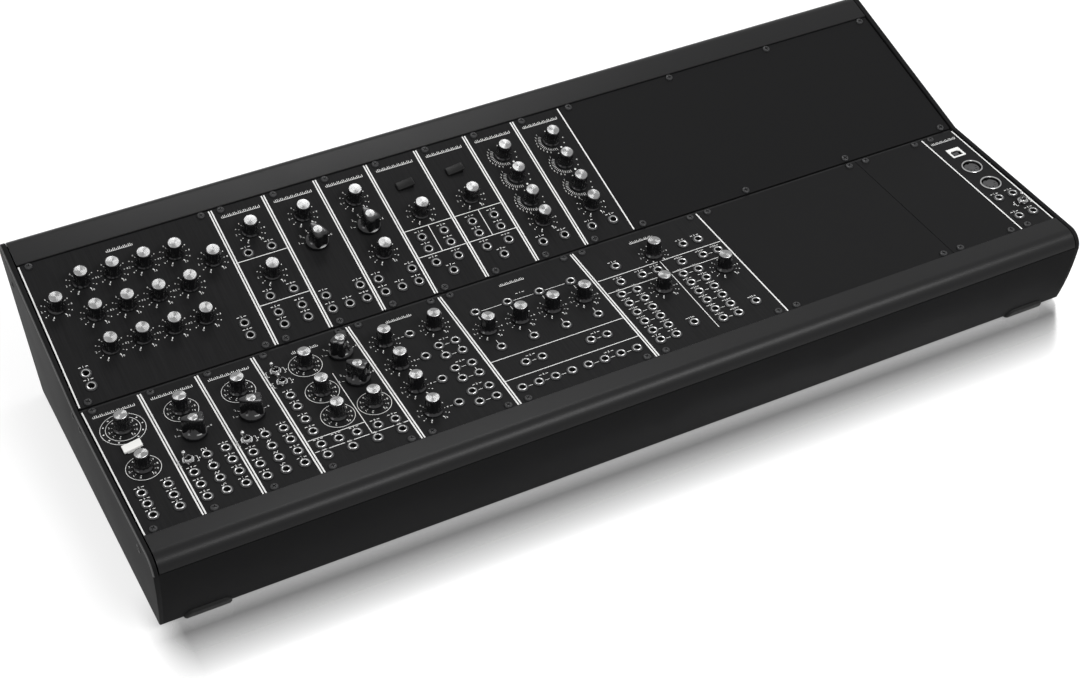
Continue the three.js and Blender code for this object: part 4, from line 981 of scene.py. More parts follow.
MODULES = {
    "filter_bank_module": {
        "knobs": lattice(BANK_COLUMNS[1:5],
                         [TOP_KNOB_SHARE - step * BANK_PITCH_SHARE for step in range(3)])
        + lattice([BANK_COLUMNS[0], BANK_COLUMNS[5]],
                  [TOP_KNOB_SHARE - BANK_PITCH_SHARE / 2]),
        "jacks": lattice([BANK_COLUMNS[0], BANK_COLUMNS[5]], [jack_row(1), jack_row(0)]),
    },
    "noise_filter_module": {
        "knobs": lattice([NARROW_MIDDLE], [TOP_KNOB_SHARE, COUPLER_LOW_KNOB_SHARE]),
        "jacks": lattice(both(NARROW_MIDDLE, PAIR), [
            TOP_KNOB_SHARE - COUPLER_JACK_DROP_SHARE,
            COUPLER_LOW_KNOB_SHARE - COUPLER_JACK_DROP_SHARE, jack_row(1), jack_row(0)]),
    },
    "highpass_module": {
        "knobs": [(NARROW_MIDDLE, TOP_KNOB_SHARE)],
        "pointers": [(NARROW_MIDDLE, knob_row(1))],
        "jacks": SELECTOR_JACKS,
    },
    "lowpass_module": {
        "knobs": lattice([NARROW_MIDDLE], [TOP_KNOB_SHARE, knob_row(2)]),
        "pointers": [(NARROW_MIDDLE, knob_row(1))],
        "jacks": SELECTOR_JACKS,
    },
    "left_amplifier_module": AMPLIFIER,
    "right_amplifier_module": AMPLIFIER,
    "left_envelope_module": ENVELOPE,
    "right_envelope_module": ENVELOPE,
    "upper_blank_panel": {},
    "driver_module": {
        "knobs": lattice([NARROW_MIDDLE], [TOP_KNOB_SHARE, DRIVER_LOW_KNOB_SHARE]),
        "rockers": [(NARROW_MIDDLE, (TOP_KNOB_SHARE + DRIVER_LOW_KNOB_SHARE) / 2)],
        "jacks": lattice(both(NARROW_MIDDLE, PAIR), map(jack_row, range(3))),
    },
    "left_oscillator_module": OSCILLATOR,
    "right_oscillator_module": OSCILLATOR,
    "dual_oscillator_module": {
        "knobs": lattice([5.846], DUAL_KNOB_SHARES) + [(11.063, DUAL_KNOB_SHARES[2])],
        "pointers": lattice([11.063], DUAL_KNOB_SHARES[:2]),
        "toggles": lattice([PAIR], DUAL_TOGGLE_SHARES),
        "jacks": lattice([PAIR], DUAL_EDGE_SHARES)
        + lattice(DUAL_LOW_COLUMNS, [jack_row(1)])
        + lattice([PAIR + 3.5 * step for step in range(4)], [jack_row(0)]),
    },
    "mixer_module": {
        "knobs": lattice([MIXER_KNOB], map(knob_row, range(4)))
        + [(MIXER_PAIR + COLUMN / 2, TOP_KNOB_SHARE)],
        "jacks": lattice([DUAL_UNITS / 2], map(knob_row, range(4)))
        + lattice([MIXER_PAIR, MIXER_PAIR + COLUMN],
                  [row for step in (1, 2, 3)
                   for row in both(knob_row(step), QUAD_SPREAD_SHARE)]),
    },
    "attenuator_module": {
        "knobs": lattice(ATTENUATOR_COLUMNS, [(TOP_KNOB_SHARE + jack_row(4)) / 2]),
        "jacks": lattice(ATTENUATOR_COLUMNS, [TOP_KNOB_SHARE, jack_row(4)])
        + lattice([column + step for column in ATTENUATOR_PAIRS for step in (0, COLUMN)],
                  [jack_row(2)])
        + lattice([WIDE_MIDDLE + (step - 3.5) * COLUMN for step in range(8)], [jack_row(0)]),
    },
    "interface_module": {
        "knobs": [(WIDE_MIDDLE, TOP_KNOB_SHARE)] + [
            (left + INTERFACE_PAIR + COLUMN / 2, INTERFACE_KNOB_SHARE)
            for left in (0, HALF_WIDTH)],
        "jacks": lattice(INTERFACE_TOP_COLUMNS, [TOP_KNOB_SHARE]) + [
            place for left in (0, HALF_WIDTH) for place in (
                [(left + INTERFACE_COLUMN + COLUMN / 2, INTERFACE_INPUT_SHARE)]
                + lattice([left + INTERFACE_PAIR, left + INTERFACE_PAIR + COLUMN],
                          [INTERFACE_INPUT_SHARE])
                + lattice([left + INTERFACE_COLUMN, left + INTERFACE_COLUMN + COLUMN],
                          map(jack_row, range(6)))
                + [(left + INTERFACE_PAIR + COLUMN / 2, jack_row(0.5))])],
    },
    "wide_blank_panel": {},
    "narrow_blank_panel": {},
    "midi_module": {
        "usb": [(MIDI_MIDDLE, 0.7984)],
        "din": [(MIDI_MIDDLE, 0.635), (MIDI_MIDDLE, 0.4506)],
        "jacks": lattice(both(MIDI_MIDDLE, MIDI_JACK), [MIDI_UPPER_JACK_SHARE,
                                                        LOW_JACK_SHARE]),
        "toggles": [(4.33, 0.2148)],
    },
}
UPPER_NAMES = list(MODULES)[:9]


class Module:
    """A panel's face, its left edge and width along the row, and what it carries."""

    def __init__(self, name):
        self.name, self.label = name, name.rsplit("_", 1)[0]
        self.face = UPPER if name in UPPER_NAMES else LOWER
        low, high = ((corner(name, which)[0] - ROW_START[0]) / MM for which in (0, 1))
        self.left = low - PANEL_GAP / 2
        self.width = high - low + PANEL_GAP
        self.middle = self.left + self.width / 2
        self.blank = not MODULES[name]

    def places(self, kind):
        """The places of one kind of fitting along u and v."""
        columns = MODULES[self.name].get(kind, []) if kind != "screws" else self.screws()
        return [np.array([self.left + column * UNIT, row * PANEL_HEIGHT])
                for column, row in columns]

    def screws(self):
        """Panel screws lie 7.5 mm from the sides and 3 mm from the edges. A narrow panel
        has one column of them, and a long blank panel four."""
        units, inset, edge = round(self.width / UNIT), 7.5 / UNIT, 3 / PANEL_HEIGHT
        count = 4 if units > 50 else 2 if units > 11 else 1
        return lattice(np.linspace(inset, units - inset, count), [edge, 1 - edge])


PANELS = [Module(name) for name in MODULES]


def all_places(kind, face):
    """The places of one kind of fitting on all panels of a row."""
    return np.array([place for module in PANELS if module.face is face
                     for place in module.places(kind)])


def panel_holes(module, controls):
    """Outlines of the holes in a panel, one for each fitting that passes through it."""
    outlines = {
        "jacks": circle(controls.jack_bush, 16), "toggles": circle(controls.bushing_radius, 16),
        "din": circle(controls.din_flange - 1, 32),
        "usb": rectangle(controls.usb_side + 1, controls.usb_side + 1),
        "rockers": rectangle(controls.rocker_length - 2 * ROCKER_REST, controls.rocker_width),
        "pointers": circle(SHAFT + 0.7, 16)}
    if module.face is LOWER:
        outlines["knobs"] = outlines["pointers"]
    return [outline + place for kind, outline in outlines.items()
            for place in module.places(kind)]


class SYNTH_OT_panels(bpy.types.Operator):
    """Makes every front panel with a hole for each fitting"""
    bl_idname = "synth.panels"
    bl_label = "Panels"

    def execute(self, context):
        controls = in_millimetres(context.scene.synth_controls)
        for module in PANELS:
            outline = rectangle(module.width - PANEL_GAP, PANEL_HEIGHT, 0.5)
            plate = flat_outline(outline + [module.middle, PANEL_HEIGHT / 2],
                                 panel_holes(module, controls), -PANEL_THICKNESS, 0.0, 0.12)
            kind = "blank" if module.blank else "panel"
            Piece(f"{module.label}_plate").add(plate).build(
                [f"{kind}_black"], "case", f"{kind}_finish", [module.name], module.face)
        return {"FINISHED"}


def jack_shells(controls):
    """A jack's black nut, its bright bush with a rounded lip, and its dark bore with a
    flared mouth."""
    nut, bush, bore = controls.jack_nut, controls.jack_bush, controls.jack_bore
    rise, depth, mouth = controls.jack_rise, controls.jack_depth, controls.jack_mouth
    wall = 0.4
    return [
        turned([(bush - wall, -0.1), (nut, -0.1), (nut, rise * 0.35), (nut - 0.15, rise * 0.5),
                (nut - 0.5, rise * 0.6), (bush - wall, rise * 0.6)], 20, loop=True),
        turned([(mouth + 0.1, 0), (bush, 0), (bush, rise * 0.7), (bush - 0.12, rise * 0.87),
                (bush - 0.4, rise), (mouth + 0.2, rise * 0.93), (mouth, rise * 0.75)],
               20, loop=True),
        turned([(0, -depth - wall), (bore + wall, -depth - wall), (bore + wall, 0.1),
                (mouth + 0.12, rise * 0.7), (mouth - 0.02, rise * 0.7), (bore, -0.6),
                (bore, -depth), (0, -depth)], 20)]


class SYNTH_OT_jacks(bpy.types.Operator):
    """Makes the jack sockets of both rows"""
    bl_idname = "synth.jacks"
    bl_label = "Jacks"

    def execute(self, context):
        shells = jack_shells(in_millimetres(context.scene.synth_controls))
        for label, face in FACES.items():
            jacks = Piece(f"{label}_jacks")
            for number, shell in enumerate(shells):
                jacks.fit(shell, all_places("jacks", face), number)
            jacks.build(["black_plating", "bright_plating", "dark_plastic"], "case",
                        "panel_finish", face=face)
        return {"FINISHED"}


def knob_shells(controls):
    """A small knob round the origin: a flared skirt, a grip with twelve soft flutes, and a
    metal disc in its top. A flute's depth follows the cosine of twelve times the angle,
    and fades in above the skirt and out below the collar."""
    skirt, grip, lift = controls.knob_skirt, controls.knob_radius, controls.knob_lift
    top, disc, shoulder = controls.knob_top, controls.knob_disc, controls.knob_skirt_rise
    collar = top - 1.5
    profile = [
        (0, lift), (skirt - 0.3, lift), (skirt, lift + 0.3), (skirt, shoulder * 0.6),
        (skirt - 0.16, shoulder * 0.8), (skirt - 0.5, shoulder), (grip + 0.45, shoulder + 0.35),
        (grip + 0.1, shoulder + 1), (grip, shoulder + 2.2), (grip * 0.985, top / 2),
        (grip * 0.965, collar - 0.8), (grip * 0.955, collar), (grip * 0.95, collar + 0.15),
        (disc + 0.3, top - 0.35), (disc + 0.1, top - 0.25), (disc, top - 0.45),
        (disc - 0.1, top - 0.9), (0, top - 0.9)]
    turns = np.arange(72) * math.tau / 72
    depth_shares = np.zeros((len(profile), 1))
    depth_shares[7:12, 0] = (0.35, 1, 1, 1, 0.5)
    flutes = (0.5 + 0.5 * np.cos(12 * turns)) ** 1.5
    body = turned(profile, turns, 1 - depth_shares * controls.flute_depth / grip * flutes)
    plate = turned([(0, top - 1), (disc - 0.12, top - 1), (disc - 0.12, top - 0.25),
                    (disc - 0.3, top - 0.08), (disc * 0.62, top - 0.04), (disc * 0.3, top),
                    (0, top)], 40)
    return [body], plate, plug(SHAFT, -4, lift + 0.2, 16)


def knob_piece(name, shells, places, body, face, replaced=(), turn=0.0):
    """Knobs at their places as one piece: gloss bodies, spun discs and plated stems."""
    knob = Piece(name)
    bodies, plate, stem = shells
    for shell in bodies:
        knob.fit(shell, places, 0, turn)
    knob.fit(plate, places, 1, spun=True).fit(stem, places, 2)
    knob.build(["gloss_black", "spun_metal", "bright_plating"], body, "knob_plastic",
               replaced, face)


class SYNTH_OT_knobs(bpy.types.Operator):
    """Makes the turning small knobs of the lower row and the fixed ones of the upper row"""
    bl_idname = "synth.knobs"
    bl_label = "Small knobs"

    def execute(self, context):
        shells = knob_shells(in_millimetres(context.scene.synth_controls))
        for module in PANELS:
            places = module.places("knobs")
            if module.face is LOWER:
                for number, place in enumerate(places, 1):
                    node = f"{module.label}_knob" + (f"_{number}" if len(places) > 1 else "")
                    knob_piece(f"{node}_cap", shells, place, node, LOWER, [node])
            elif places:
                knob_piece(f"{module.label}_knobs", shells, places, "case", UPPER)
        return {"FINISHED"}


# A pointer knob from above: an angle from the pointer, and a share of its reach
POINTER_SHARES = [(0, 1.0), (9, 0.97), (22, 0.74), (38, 0.60), (62, 0.53), (95, 0.56),
                  (120, 0.70), (140, 0.95), (150, 1.0), (160, 0.95), (180, 0.80)]
# And from the side: a share of its radius, and a share of its height
POINTER_LEVELS = [(0, 0.145), (1.0, 0.145), (1.0, 0.17), (0.992, 0.53), (0.985, 0.875),
                  (0.972, 0.955), (0.94, 0.99), (0.88, 1.0), (0.55, 1.001), (0, 1.001)]


def pointer_shells(controls):
    """A pointer knob round the origin, pointing along u: a round skirt that slopes up to
    its shoulder, a body whose radius follows the shares round the turn, smoothed over
    a few degrees and fluted at its sides, and a metal disc."""
    skirt, top, lift = controls.pointer_skirt, controls.pointer_top, controls.knob_lift
    disc = controls.pointer_disc
    base = turned([
        (0, lift), (skirt - 0.3, lift), (skirt, lift + 0.3), (skirt, lift + 2),
        (skirt - 0.25, lift + 2.45), (skirt - 0.8, lift + 2.75), (skirt * 0.8, lift + 3.3),
        (skirt * 0.66, lift + 4.6), (skirt * 0.55, lift + 7), (0, lift + 7)], 64)
    turns = np.arange(120) * math.tau / 120
    away = np.minimum(turns, math.tau - turns)
    degrees = np.degrees(away)
    shares = np.interp(degrees, *np.array(POINTER_SHARES).T)
    window = np.exp(-away ** 2 / (2 * math.radians(3.5) ** 2))
    shares = np.real(np.fft.ifft(np.fft.fft(shares) * np.fft.fft(window / window.sum())))
    flutes = 0.5 + 0.5 * np.cos(36 * turns)
    shares -= 0.03 * flutes * ((degrees > 48) & (degrees < 112))
    body = turned(np.array(POINTER_LEVELS) * [controls.pointer_radius, top], turns, shares)
    plate = turned([(0, top - 1), (disc, top - 1), (disc, top + 0.25), (disc - 0.2, top + 0.42),
                    (disc * 0.5, top + 0.46), (0, top + 0.48)], 36)
    return [base, body], plate, plug(SHAFT, -4, lift + 0.2, 16)


class SYNTH_OT_selectors(bpy.types.Operator):
    """Makes the pointer knobs of the stepped selectors, each at its setting"""
    bl_idname = "synth.selectors"
    bl_label = "Selectors"

    def execute(self, context):
        shells = pointer_shells(in_millimetres(context.scene.synth_controls))
        for joint in frame["joints"]:
            node = joint["child"]
            if node.endswith("_selector"):
                face = UPPER if abs(joint["axis"][1]) > 0.01 else LOWER
                # The lower end stop is at -75 degrees from straight up
                turn = math.radians(90 - 75 - joint["range_deg"][0])
                knob_piece(f"{node}_cap", shells, face.joint_place(joint), node, face,
                           [node], turn)
        return {"FINISHED"}


def tilted(shell, tilt, height):
    """A shell turned about the panel's v direction, through a pivot at a height."""
    points, faces = shell
    u, v, n = points[:, 0], points[:, 1], points[:, 2] - height
    cosine, sine = math.cos(tilt), math.sin(tilt)
    return np.column_stack([cosine * u - sine * n, v, sine * u + cosine * n + height]), faces


def rocker_shell(controls):
    """A tilted rocker over its pivot: a cap with rounded edges whose face dips in a
    shallow valley by the square of the distance from its ends, and a stem."""
    half, width, top = controls.rocker_length / 2, controls.rocker_width, controls.rocker_top
    edge, slab, dip = 0.45, 1.6, 0.22
    rings = []
    for share in np.sin(np.linspace(-math.pi / 2, math.pi / 2, 17)):
        shrink = edge * (1 - quarter((1 - abs(share)) * half / edge))
        high = top - dip * (1 - share ** 2) - shrink
        low, side = top - slab + shrink, width / 2 - shrink
        ring = np.concatenate([
            [(-side, low), (side, low)],
            arc((side - edge, high - edge), edge, 0, math.pi / 2, 4),
            arc((edge - side, high - edge), edge, math.pi / 2, math.pi, 4)])
        rings.append(np.column_stack([np.full(len(ring), share * half), ring]))
    stem = block(9, width - 0.8, -3.8, top - slab + 0.2)
    return tilted(joined([loft(rings), stem]), controls.rocker_tilt, -controls.rocker_pivot)


def lever_shell(controls):
    """A toggle's tilted lever: a slim stem that widens to a rounded tip."""
    reach, tip = controls.lever_reach, controls.lever_tip
    ball = arc((0, reach - tip), tip, 0, math.pi / 2, 6)[:-1]
    return tilted(turned([(0, -3.4), (0.95, -3.4), (0.95, 3.2), (1.05, 5), *ball, (0, reach)],
                         20), controls.lever_tilt, 0.0)


def toggle_mount_shells(controls):
    """A toggle's hexagon nut with its corners turned down, and its threaded bushing with
    a domed lip. The nut's radius at an angle is the flat's distance over the cosine of
    the angle from the middle of the flat."""
    nut, rise = controls.nut_radius, controls.nut_rise
    bushing, lip = controls.bushing_radius, controls.bushing_rise
    turns = np.arange(48) * math.tau / 48
    hexagon = math.cos(math.pi / 6) / np.cos(np.mod(turns, math.pi / 3) - math.pi / 6)
    shape = np.ones((5, 48))
    shape[1:3] = hexagon
    shape[3] = np.minimum(hexagon, 0.90)
    thread = [(bushing - 0.12 * (k % 2), rise - 0.3 + 0.2 * k) for k in range(7)]
    return (
        turned([(bushing - 0.3, 0.05), (nut, 0.05), (nut, rise - 0.35), (nut, rise),
                (bushing - 0.3, rise)], turns, shape, loop=True),
        turned([(2.3, -3), (bushing - 0.2, -3), *thread, (bushing - 0.15, lip - 0.25),
                (bushing - 0.4, lip), (2.4, lip), (2.3, lip - 0.2)], 28, loop=True))


class SYNTH_OT_switches(bpy.types.Operator):
    """Makes the rockers, and the toggles with their nuts, bushings and levers"""
    bl_idname = "synth.switches"
    bl_label = "Switches"

    def execute(self, context):
        controls = in_millimetres(context.scene.synth_controls)
        rocker, lever = rocker_shell(controls), lever_shell(controls)
        for joint in frame["joints"]:
            node = joint["child"]
            if "_toggle" in node:
                Piece(f"{node}_lever").fit(lever, LOWER.joint_place(joint)).build(
                    ["bright_plating"], node, "lever_plating", [node], LOWER)
            elif node.endswith("_rocker") and node != "power_rocker":
                material, slot, face = (
                    ("white_plastic", "white_plastic", LOWER) if node.startswith("driver")
                    else ("rocker_black", "knob_plastic", UPPER))
                Piece(f"{node}_cap").fit(rocker, face.joint_place(joint)).build(
                    [material], node, slot, [node], face)
        nut, bushing = toggle_mount_shells(controls)
        places = all_places("toggles", LOWER)
        mounts = Piece("toggle_nuts").fit(nut, places, turns=math.radians(12))
        mounts.fit(bushing, places).build(["bright_plating"], "case", "lever_plating",
                                          face=LOWER)
        return {"FINISHED"}


def din_shells(controls):
    """A round socket: a polished ring with a deep wall, a dark floor, and a core with a
    key notch above and five slots on the lower half of a circle."""
    ring, core = controls.din_flange, controls.din_core
    inner, depth = ring - 1.2, 5
    shell = turned([
        (ring, -0.1), (ring, 0.55), (ring - 0.25, 0.8), (inner + 0.2, 0.8), (inner, 0.55),
        (inner, -depth), (inner + 0.5, -depth), (inner + 0.5, -0.1)], 48, loop=True)
    outline = circle(core, 48)
    turns = np.degrees(np.arctan2(outline[:, 1], outline[:, 0]))
    outline[np.abs(turns - 90) < 12] *= 0.84
    slots = []
    for degrees in range(180, 361, 45):
        along = spoke(degrees)
        axes = np.array([along, (-along[1], along[0])])
        slots.append(rectangle(1.5, 0.75, 0.3) @ axes + along * core * 0.62)
    return (shell, plug(inner + 0.3, -depth - 0.5, -depth + 0.1, 32),
            flat_outline(outline, slots, -3.4, -0.8, 0.1), plug(core * 0.98, -depth, -3.3, 32))


def usb_shells(controls):
    """The square socket: a white frame round a hole whose upper corners are cut, a dark
    well behind it, and a tongue."""
    side, border = controls.usb_side, 2 * controls.usb_frame
    half, cut = side / 2, side * 0.2
    hole = np.array([(-half, -half), (half, -half), (half, half - 2 * cut),
                     (half - cut, half - cut), (cut - half, half - cut),
                     (-half, half - 2 * cut)])
    frame_shell = flat_outline(rectangle(side + border, side - 0.7 + border, 0.4),
                               [hole * [1, 0.95]], -0.6, 0.4, 0.1)
    well = [np.column_stack([rectangle(size, size), np.full(4, level)])
            for size, level in ((side + 1, -8.5), (side + 1, -0.5), (side, -0.5), (side, -8))]
    return frame_shell, loft(well), block(5.6, 3.2, -8, -0.8, 0.3)


class SYNTH_OT_sockets(bpy.types.Operator):
    """Makes the round sockets and the square socket"""
    bl_idname = "synth.sockets"
    bl_label = "Sockets"

    def execute(self, context):
        controls = in_millimetres(context.scene.synth_controls)
        for name, kind, shells, rim, slot in (
                ("round_sockets", "din", din_shells(controls), "bright_plating",
                 "panel_finish"),
                ("square_socket", "usb", usb_shells(controls), "white_plastic",
                 "white_plastic")):
            sockets = Piece(name)
            for number, shell in zip((0, 1, 2, 2), shells):
                sockets.fit(shell, all_places(kind, LOWER), number)
            sockets.build([rim, "dark_plastic", "core_plastic"], "case", slot, face=LOWER)
        return {"FINISHED"}


def screw_shell(radius, rise):
    """A pan head with a cross recess. The recess reaches, at each angle, the farther of
    two crossed bars, a bar reaching the lesser of its half length over the cosine and
    its half width over the sine."""
    arm, bar_half = radius * 0.55, radius * 0.13
    first = math.atan2(bar_half, arm)
    turns = np.sort(np.concatenate([np.array([0, first, math.pi / 4, math.pi / 2 - first])
                                    + k * math.pi / 2 for k in range(4)]))
    cosine, sine = np.abs(np.cos(turns)) + 1e-9, np.abs(np.sin(turns)) + 1e-9
    cross = np.maximum(np.minimum(arm / cosine, bar_half / sine),
                       np.minimum(bar_half / cosine, arm / sine)) / radius
    shape = np.ones((8, len(turns)))
    shape[5:7] = cross, cross * 0.8
    return turned([(0, -0.3), (radius, -0.3), (radius, rise * 0.35),
                   (radius * 0.86, rise * 0.8), (radius * 0.62, rise),
                   (radius, rise), (radius, rise * 0.3), (0, rise * 0.25)], turns, shape)


# Screws of an end wall: y and z in the object's frame, and the head's radius
WALL_SCREWS = ((131.2, 85.9, 2.4), (3.9, 64.7, 2.4), (-11.2, 64.3, 2.4), (-127.8, 59.7, 3.4))


class SYNTH_OT_screws(bpy.types.Operator):
    """Makes the panel screws of both rows and the screws of the end walls"""
    bl_idname = "synth.screws"
    bl_label = "Panel screws"

    def execute(self, context):
        controls = in_millimetres(context.scene.synth_controls)
        case = in_millimetres(context.scene.synth_case)
        head = screw_shell(controls.screw_radius, controls.screw_rise)
        for label, face in FACES.items():
            places = all_places("screws", face)
            turns = np.random.default_rng(7).uniform(0, math.pi / 2, len(places))
            Piece(f"{label}_screws").fit(head, places, turns=turns).build(
                ["screw_black"], "case", "panel_finish", face=face)
        sides = Piece("wall_screws")
        for y, z, radius in WALL_SCREWS:
            height = z - ROW_START[2] / MM - case.rim_rise
            reach = case.side_gap + case.wall + height * math.tan(case.wall_draft)
            points, faces = screw_shell(radius, 0.5)
            for side, x in ((-1, -reach), (1, ROW_WIDTH + reach)):
                wall = Face((ROW_START[0] + x * MM, y * MM, z * MM),
                            (0, side, 0), (0, 0, 1), (side, 0, 0))
                sides.add((wall.place(points), faces))
        sides.build(["dark_plastic"], "case", "case_paint")
        return {"FINISHED"}


# Print

FONT_FILL = 0.69                 # a digit's share of its font size
FONT_BOLD = 0.012                # how far its outline moves out, as a share of its height
SCALE_START, SCALE_STEP = 240, 30         # angles of a knob's scale, in degrees
SELECTOR_START = 165             # angle of a selector's first mark
LABEL_RISE = 6.0                 # from a jack to its number
JACK_CLEAR, KNOB_CLEAR = 4.7, 12.4        # from a fitting's middle to a stroke's end


def digit_shell(digit, height, rise):
    """A numeral of the plain built-in font as a thin slab, centred on the origin."""
    curve = bpy.data.curves.new("numeral", "FONT")
    curve.body, curve.size = digit, height * MM / FONT_FILL
    curve.align_x, curve.align_y = "CENTER", "CENTER"
    curve.resolution_u, curve.extrude = 1, rise * MM / 2
    curve.offset = height * MM * FONT_BOLD
    return curve_shell(curve, rise / 2)


def spoke(degrees):
    """The direction at an angle."""
    return np.array([math.cos(math.radians(degrees)), math.sin(math.radians(degrees))])


class Ink:
    """Printed strokes, rings, dots and numerals of a row, each a slab as thick as the
    ink."""

    def __init__(self, controls):
        self.rise, self.stroke, self.height = (controls.print_rise, controls.stroke,
                                               controls.numeral)
        self.shells, self.lines, self.dots, self.digits = [], [], [], {}

    def line(self, start, end, width=None):
        """A straight stroke."""
        self.lines.append((*start, *end, width or self.stroke))

    def path(self, *points):
        """Straight strokes from point to point."""
        for start, end in zip(points, points[1:]):
            self.line(start, end)

    def spoke(self, centre, degrees, start, end, width=None):
        """A stroke that points away from a centre."""
        self.line(centre + spoke(degrees) * start, centre + spoke(degrees) * end, width)

    def ring(self, centre, radius):
        """A full circle."""
        inner, outer = both(radius, self.stroke / 2)
        self.shells.append(repeated(turned([(inner, 0), (outer, 0), (outer, self.rise),
                                            (inner, self.rise)], 56, loop=True), centre))

    def dot(self, place, radius):
        """A round dot."""
        self.dots.append((*place, radius))

    def number(self, value, place, height=None):
        """A plain number, its digits side by side round a place."""
        height = height or self.height
        for k, digit in enumerate(str(value)):
            along = (k - (len(str(value)) - 1) / 2) * height * 0.8
            self.digits.setdefault((digit, height), []).append((place[0] + along, place[1]))

    def shell(self):
        """Everything printed as one shell. A stroke is a unit block and a dot a unit disc,
        each scaled to its size, and a stroke is turned to its direction."""
        starts, ends, widths = np.split(np.array(self.lines), (2, 4), 1)
        along = ends - starts
        strokes = repeated(
            block(1, 1, 0, 1), (starts + ends) / 2, np.arctan2(along[:, 1], along[:, 0]),
            np.hstack([np.hypot(*along.T)[:, None], widths, np.full_like(widths, self.rise)]))
        places, radii = np.split(np.array(self.dots), [2], 1)
        dots = repeated(plug(1, 0, 1, 10), places, scales=np.hstack(
            [radii, radii, np.full_like(radii, self.rise)]))
        return joined([*self.shells, strokes, dots, *(
            repeated(digit_shell(digit, height, self.rise), places)
            for (digit, height), places in self.digits.items())])


def fan_scale(ink, centre):
    """A knob's scale of fine strokes round the left half, with numbers outside them, and
    dots in steps of thirty degrees round the rest."""
    for degrees in np.linspace(138, 276, 16):
        ink.spoke(centre, degrees, 7.8, 10, 0.3)
    for value, degrees in enumerate(range(132, 250, 14), 1):
        ink.number(value, centre + spoke(degrees) * 11.7, 1.5)
    for degrees in range(-30, 91, 30):
        ink.dot(centre + spoke(degrees) * 10.2, 0.45)
    ink.dot(centre + spoke(-60) * 9.6, 0.8)


def numbered_scale(ink, centre, ringed):
    """A knob's scale from 0 to 10, in steps of thirty degrees over the top, with bold
    strokes at its ends. Either a ring goes round it, or every odd number is a dot."""
    radius, start = (9.4, 7.3) if ringed else (10.6, 7.9)
    for value in range(11):
        degrees, bold = SCALE_START - SCALE_STEP * value, value in (0, 10)
        place = centre + spoke(degrees) * radius
        if value % 2 and not ringed:
            ink.dot(place, 0.42)
        else:
            ink.number(value, place, ink.height * (1 if ringed or bold else 0.85))
        reach = 0.7 if ringed else 1.5 if bold else 0.9
        ink.spoke(centre, degrees, start, start + reach, 0.7 if bold else None)
    if ringed:
        ink.ring(centre, 11.6)


def selector_marks(ink, centre):
    """Six short strokes with numbers, thirty degrees apart round the top."""
    for step in range(6):
        degrees = SELECTOR_START - SCALE_STEP * step
        ink.spoke(centre, degrees, 9.6, 11.2)
        ink.number(step + 1, centre + spoke(degrees) * 12.8)


def caption(ink, centre, span):
    """A short graduated rule where a heading stands."""
    low = centre[1] - 1.1
    ink.line((centre[0] - span / 2, low), (centre[0] + span / 2, low), 0.3)
    for number, u in enumerate(np.linspace(*both(centre[0], span / 2), round(span / 1.3) + 1)):
        ink.line((u, low), (u, low + (2.3 if number % 3 else 1.4)), 0.42)


def jack_number(ink, value, place):
    """A jack's number above it, between two dashes."""
    u, v = place + [0, LABEL_RISE]
    ink.number(value, (u, v))
    for side in (-1, 1):
        ink.line((u + side * 1.6, v), (u + side * 3.4, v), 0.5)


def toggle_bracket(ink, centre):
    """Brackets on both sides of a toggle's nut, each with a dot."""
    for side in (-1, 1):
        ink.path(*(centre + [side * u, v] for u, v in (
            (5.4, 2.6), (6.6, 2.6), (6.6, -2.6), (5.4, -2.6))))
        ink.dot(centre + [side * 7.8, 0], 0.5)


SINE_SHARES = np.linspace(-1, 1, 13)
# One wave of a sine, a triangle, a saw and a square
WAVES = (
    np.column_stack([1.3 * SINE_SHARES, 0.8 * np.sin(SINE_SHARES * math.pi)]),
    [(-1.3, -0.7), (-0.45, 0.8), (0.45, -0.7), (1.3, 0.8)],
    [(-1.3, -0.7), (0, 0.8), (0, -0.7), (1.3, 0.8)],
    [(-1.3, -0.7), (-1.3, 0.8), (0, 0.8), (0, -0.7), (1.3, -0.7), (1.3, 0.8)])
# Ruled lines of the modules, from a panel's lower left corner
AMPLIFIER_RULES = [(0, 59.4, 40.6, 59.4), (0, 33.9, 40.6, 33.9), (20.32, 33.9, 20.32, 59.4)]
RULES = {
    "noise_filter": [(0, 76.6, 40.6, 76.6), (0, 35.5, 40.6, 35.5)],
    "left_amplifier": AMPLIFIER_RULES,
    "right_amplifier": AMPLIFIER_RULES,
    "dual_oscillator": [(43, 87.3, 43, 21.1), (2.2, 32.7, 42.6, 32.7), (2.4, 20.5, 69.2, 20.5)],
    "attenuator": [(1.5, 47.5, 105.2, 47.5), (1.5, 25.6, 105.2, 25.6)],
    "interface": [(2, 91, 51.5, 91), (55, 91, 104.5, 91), (2, 75.5, 51.5, 75.5),
                  (55, 75.5, 104.5, 75.5), (53.3, 91, 53.3, 8)],
}
SINGLE_OSCILLATORS = ("left_oscillator", "right_oscillator")
RINGED = ("driver", *SINGLE_OSCILLATORS, "dual_oscillator")
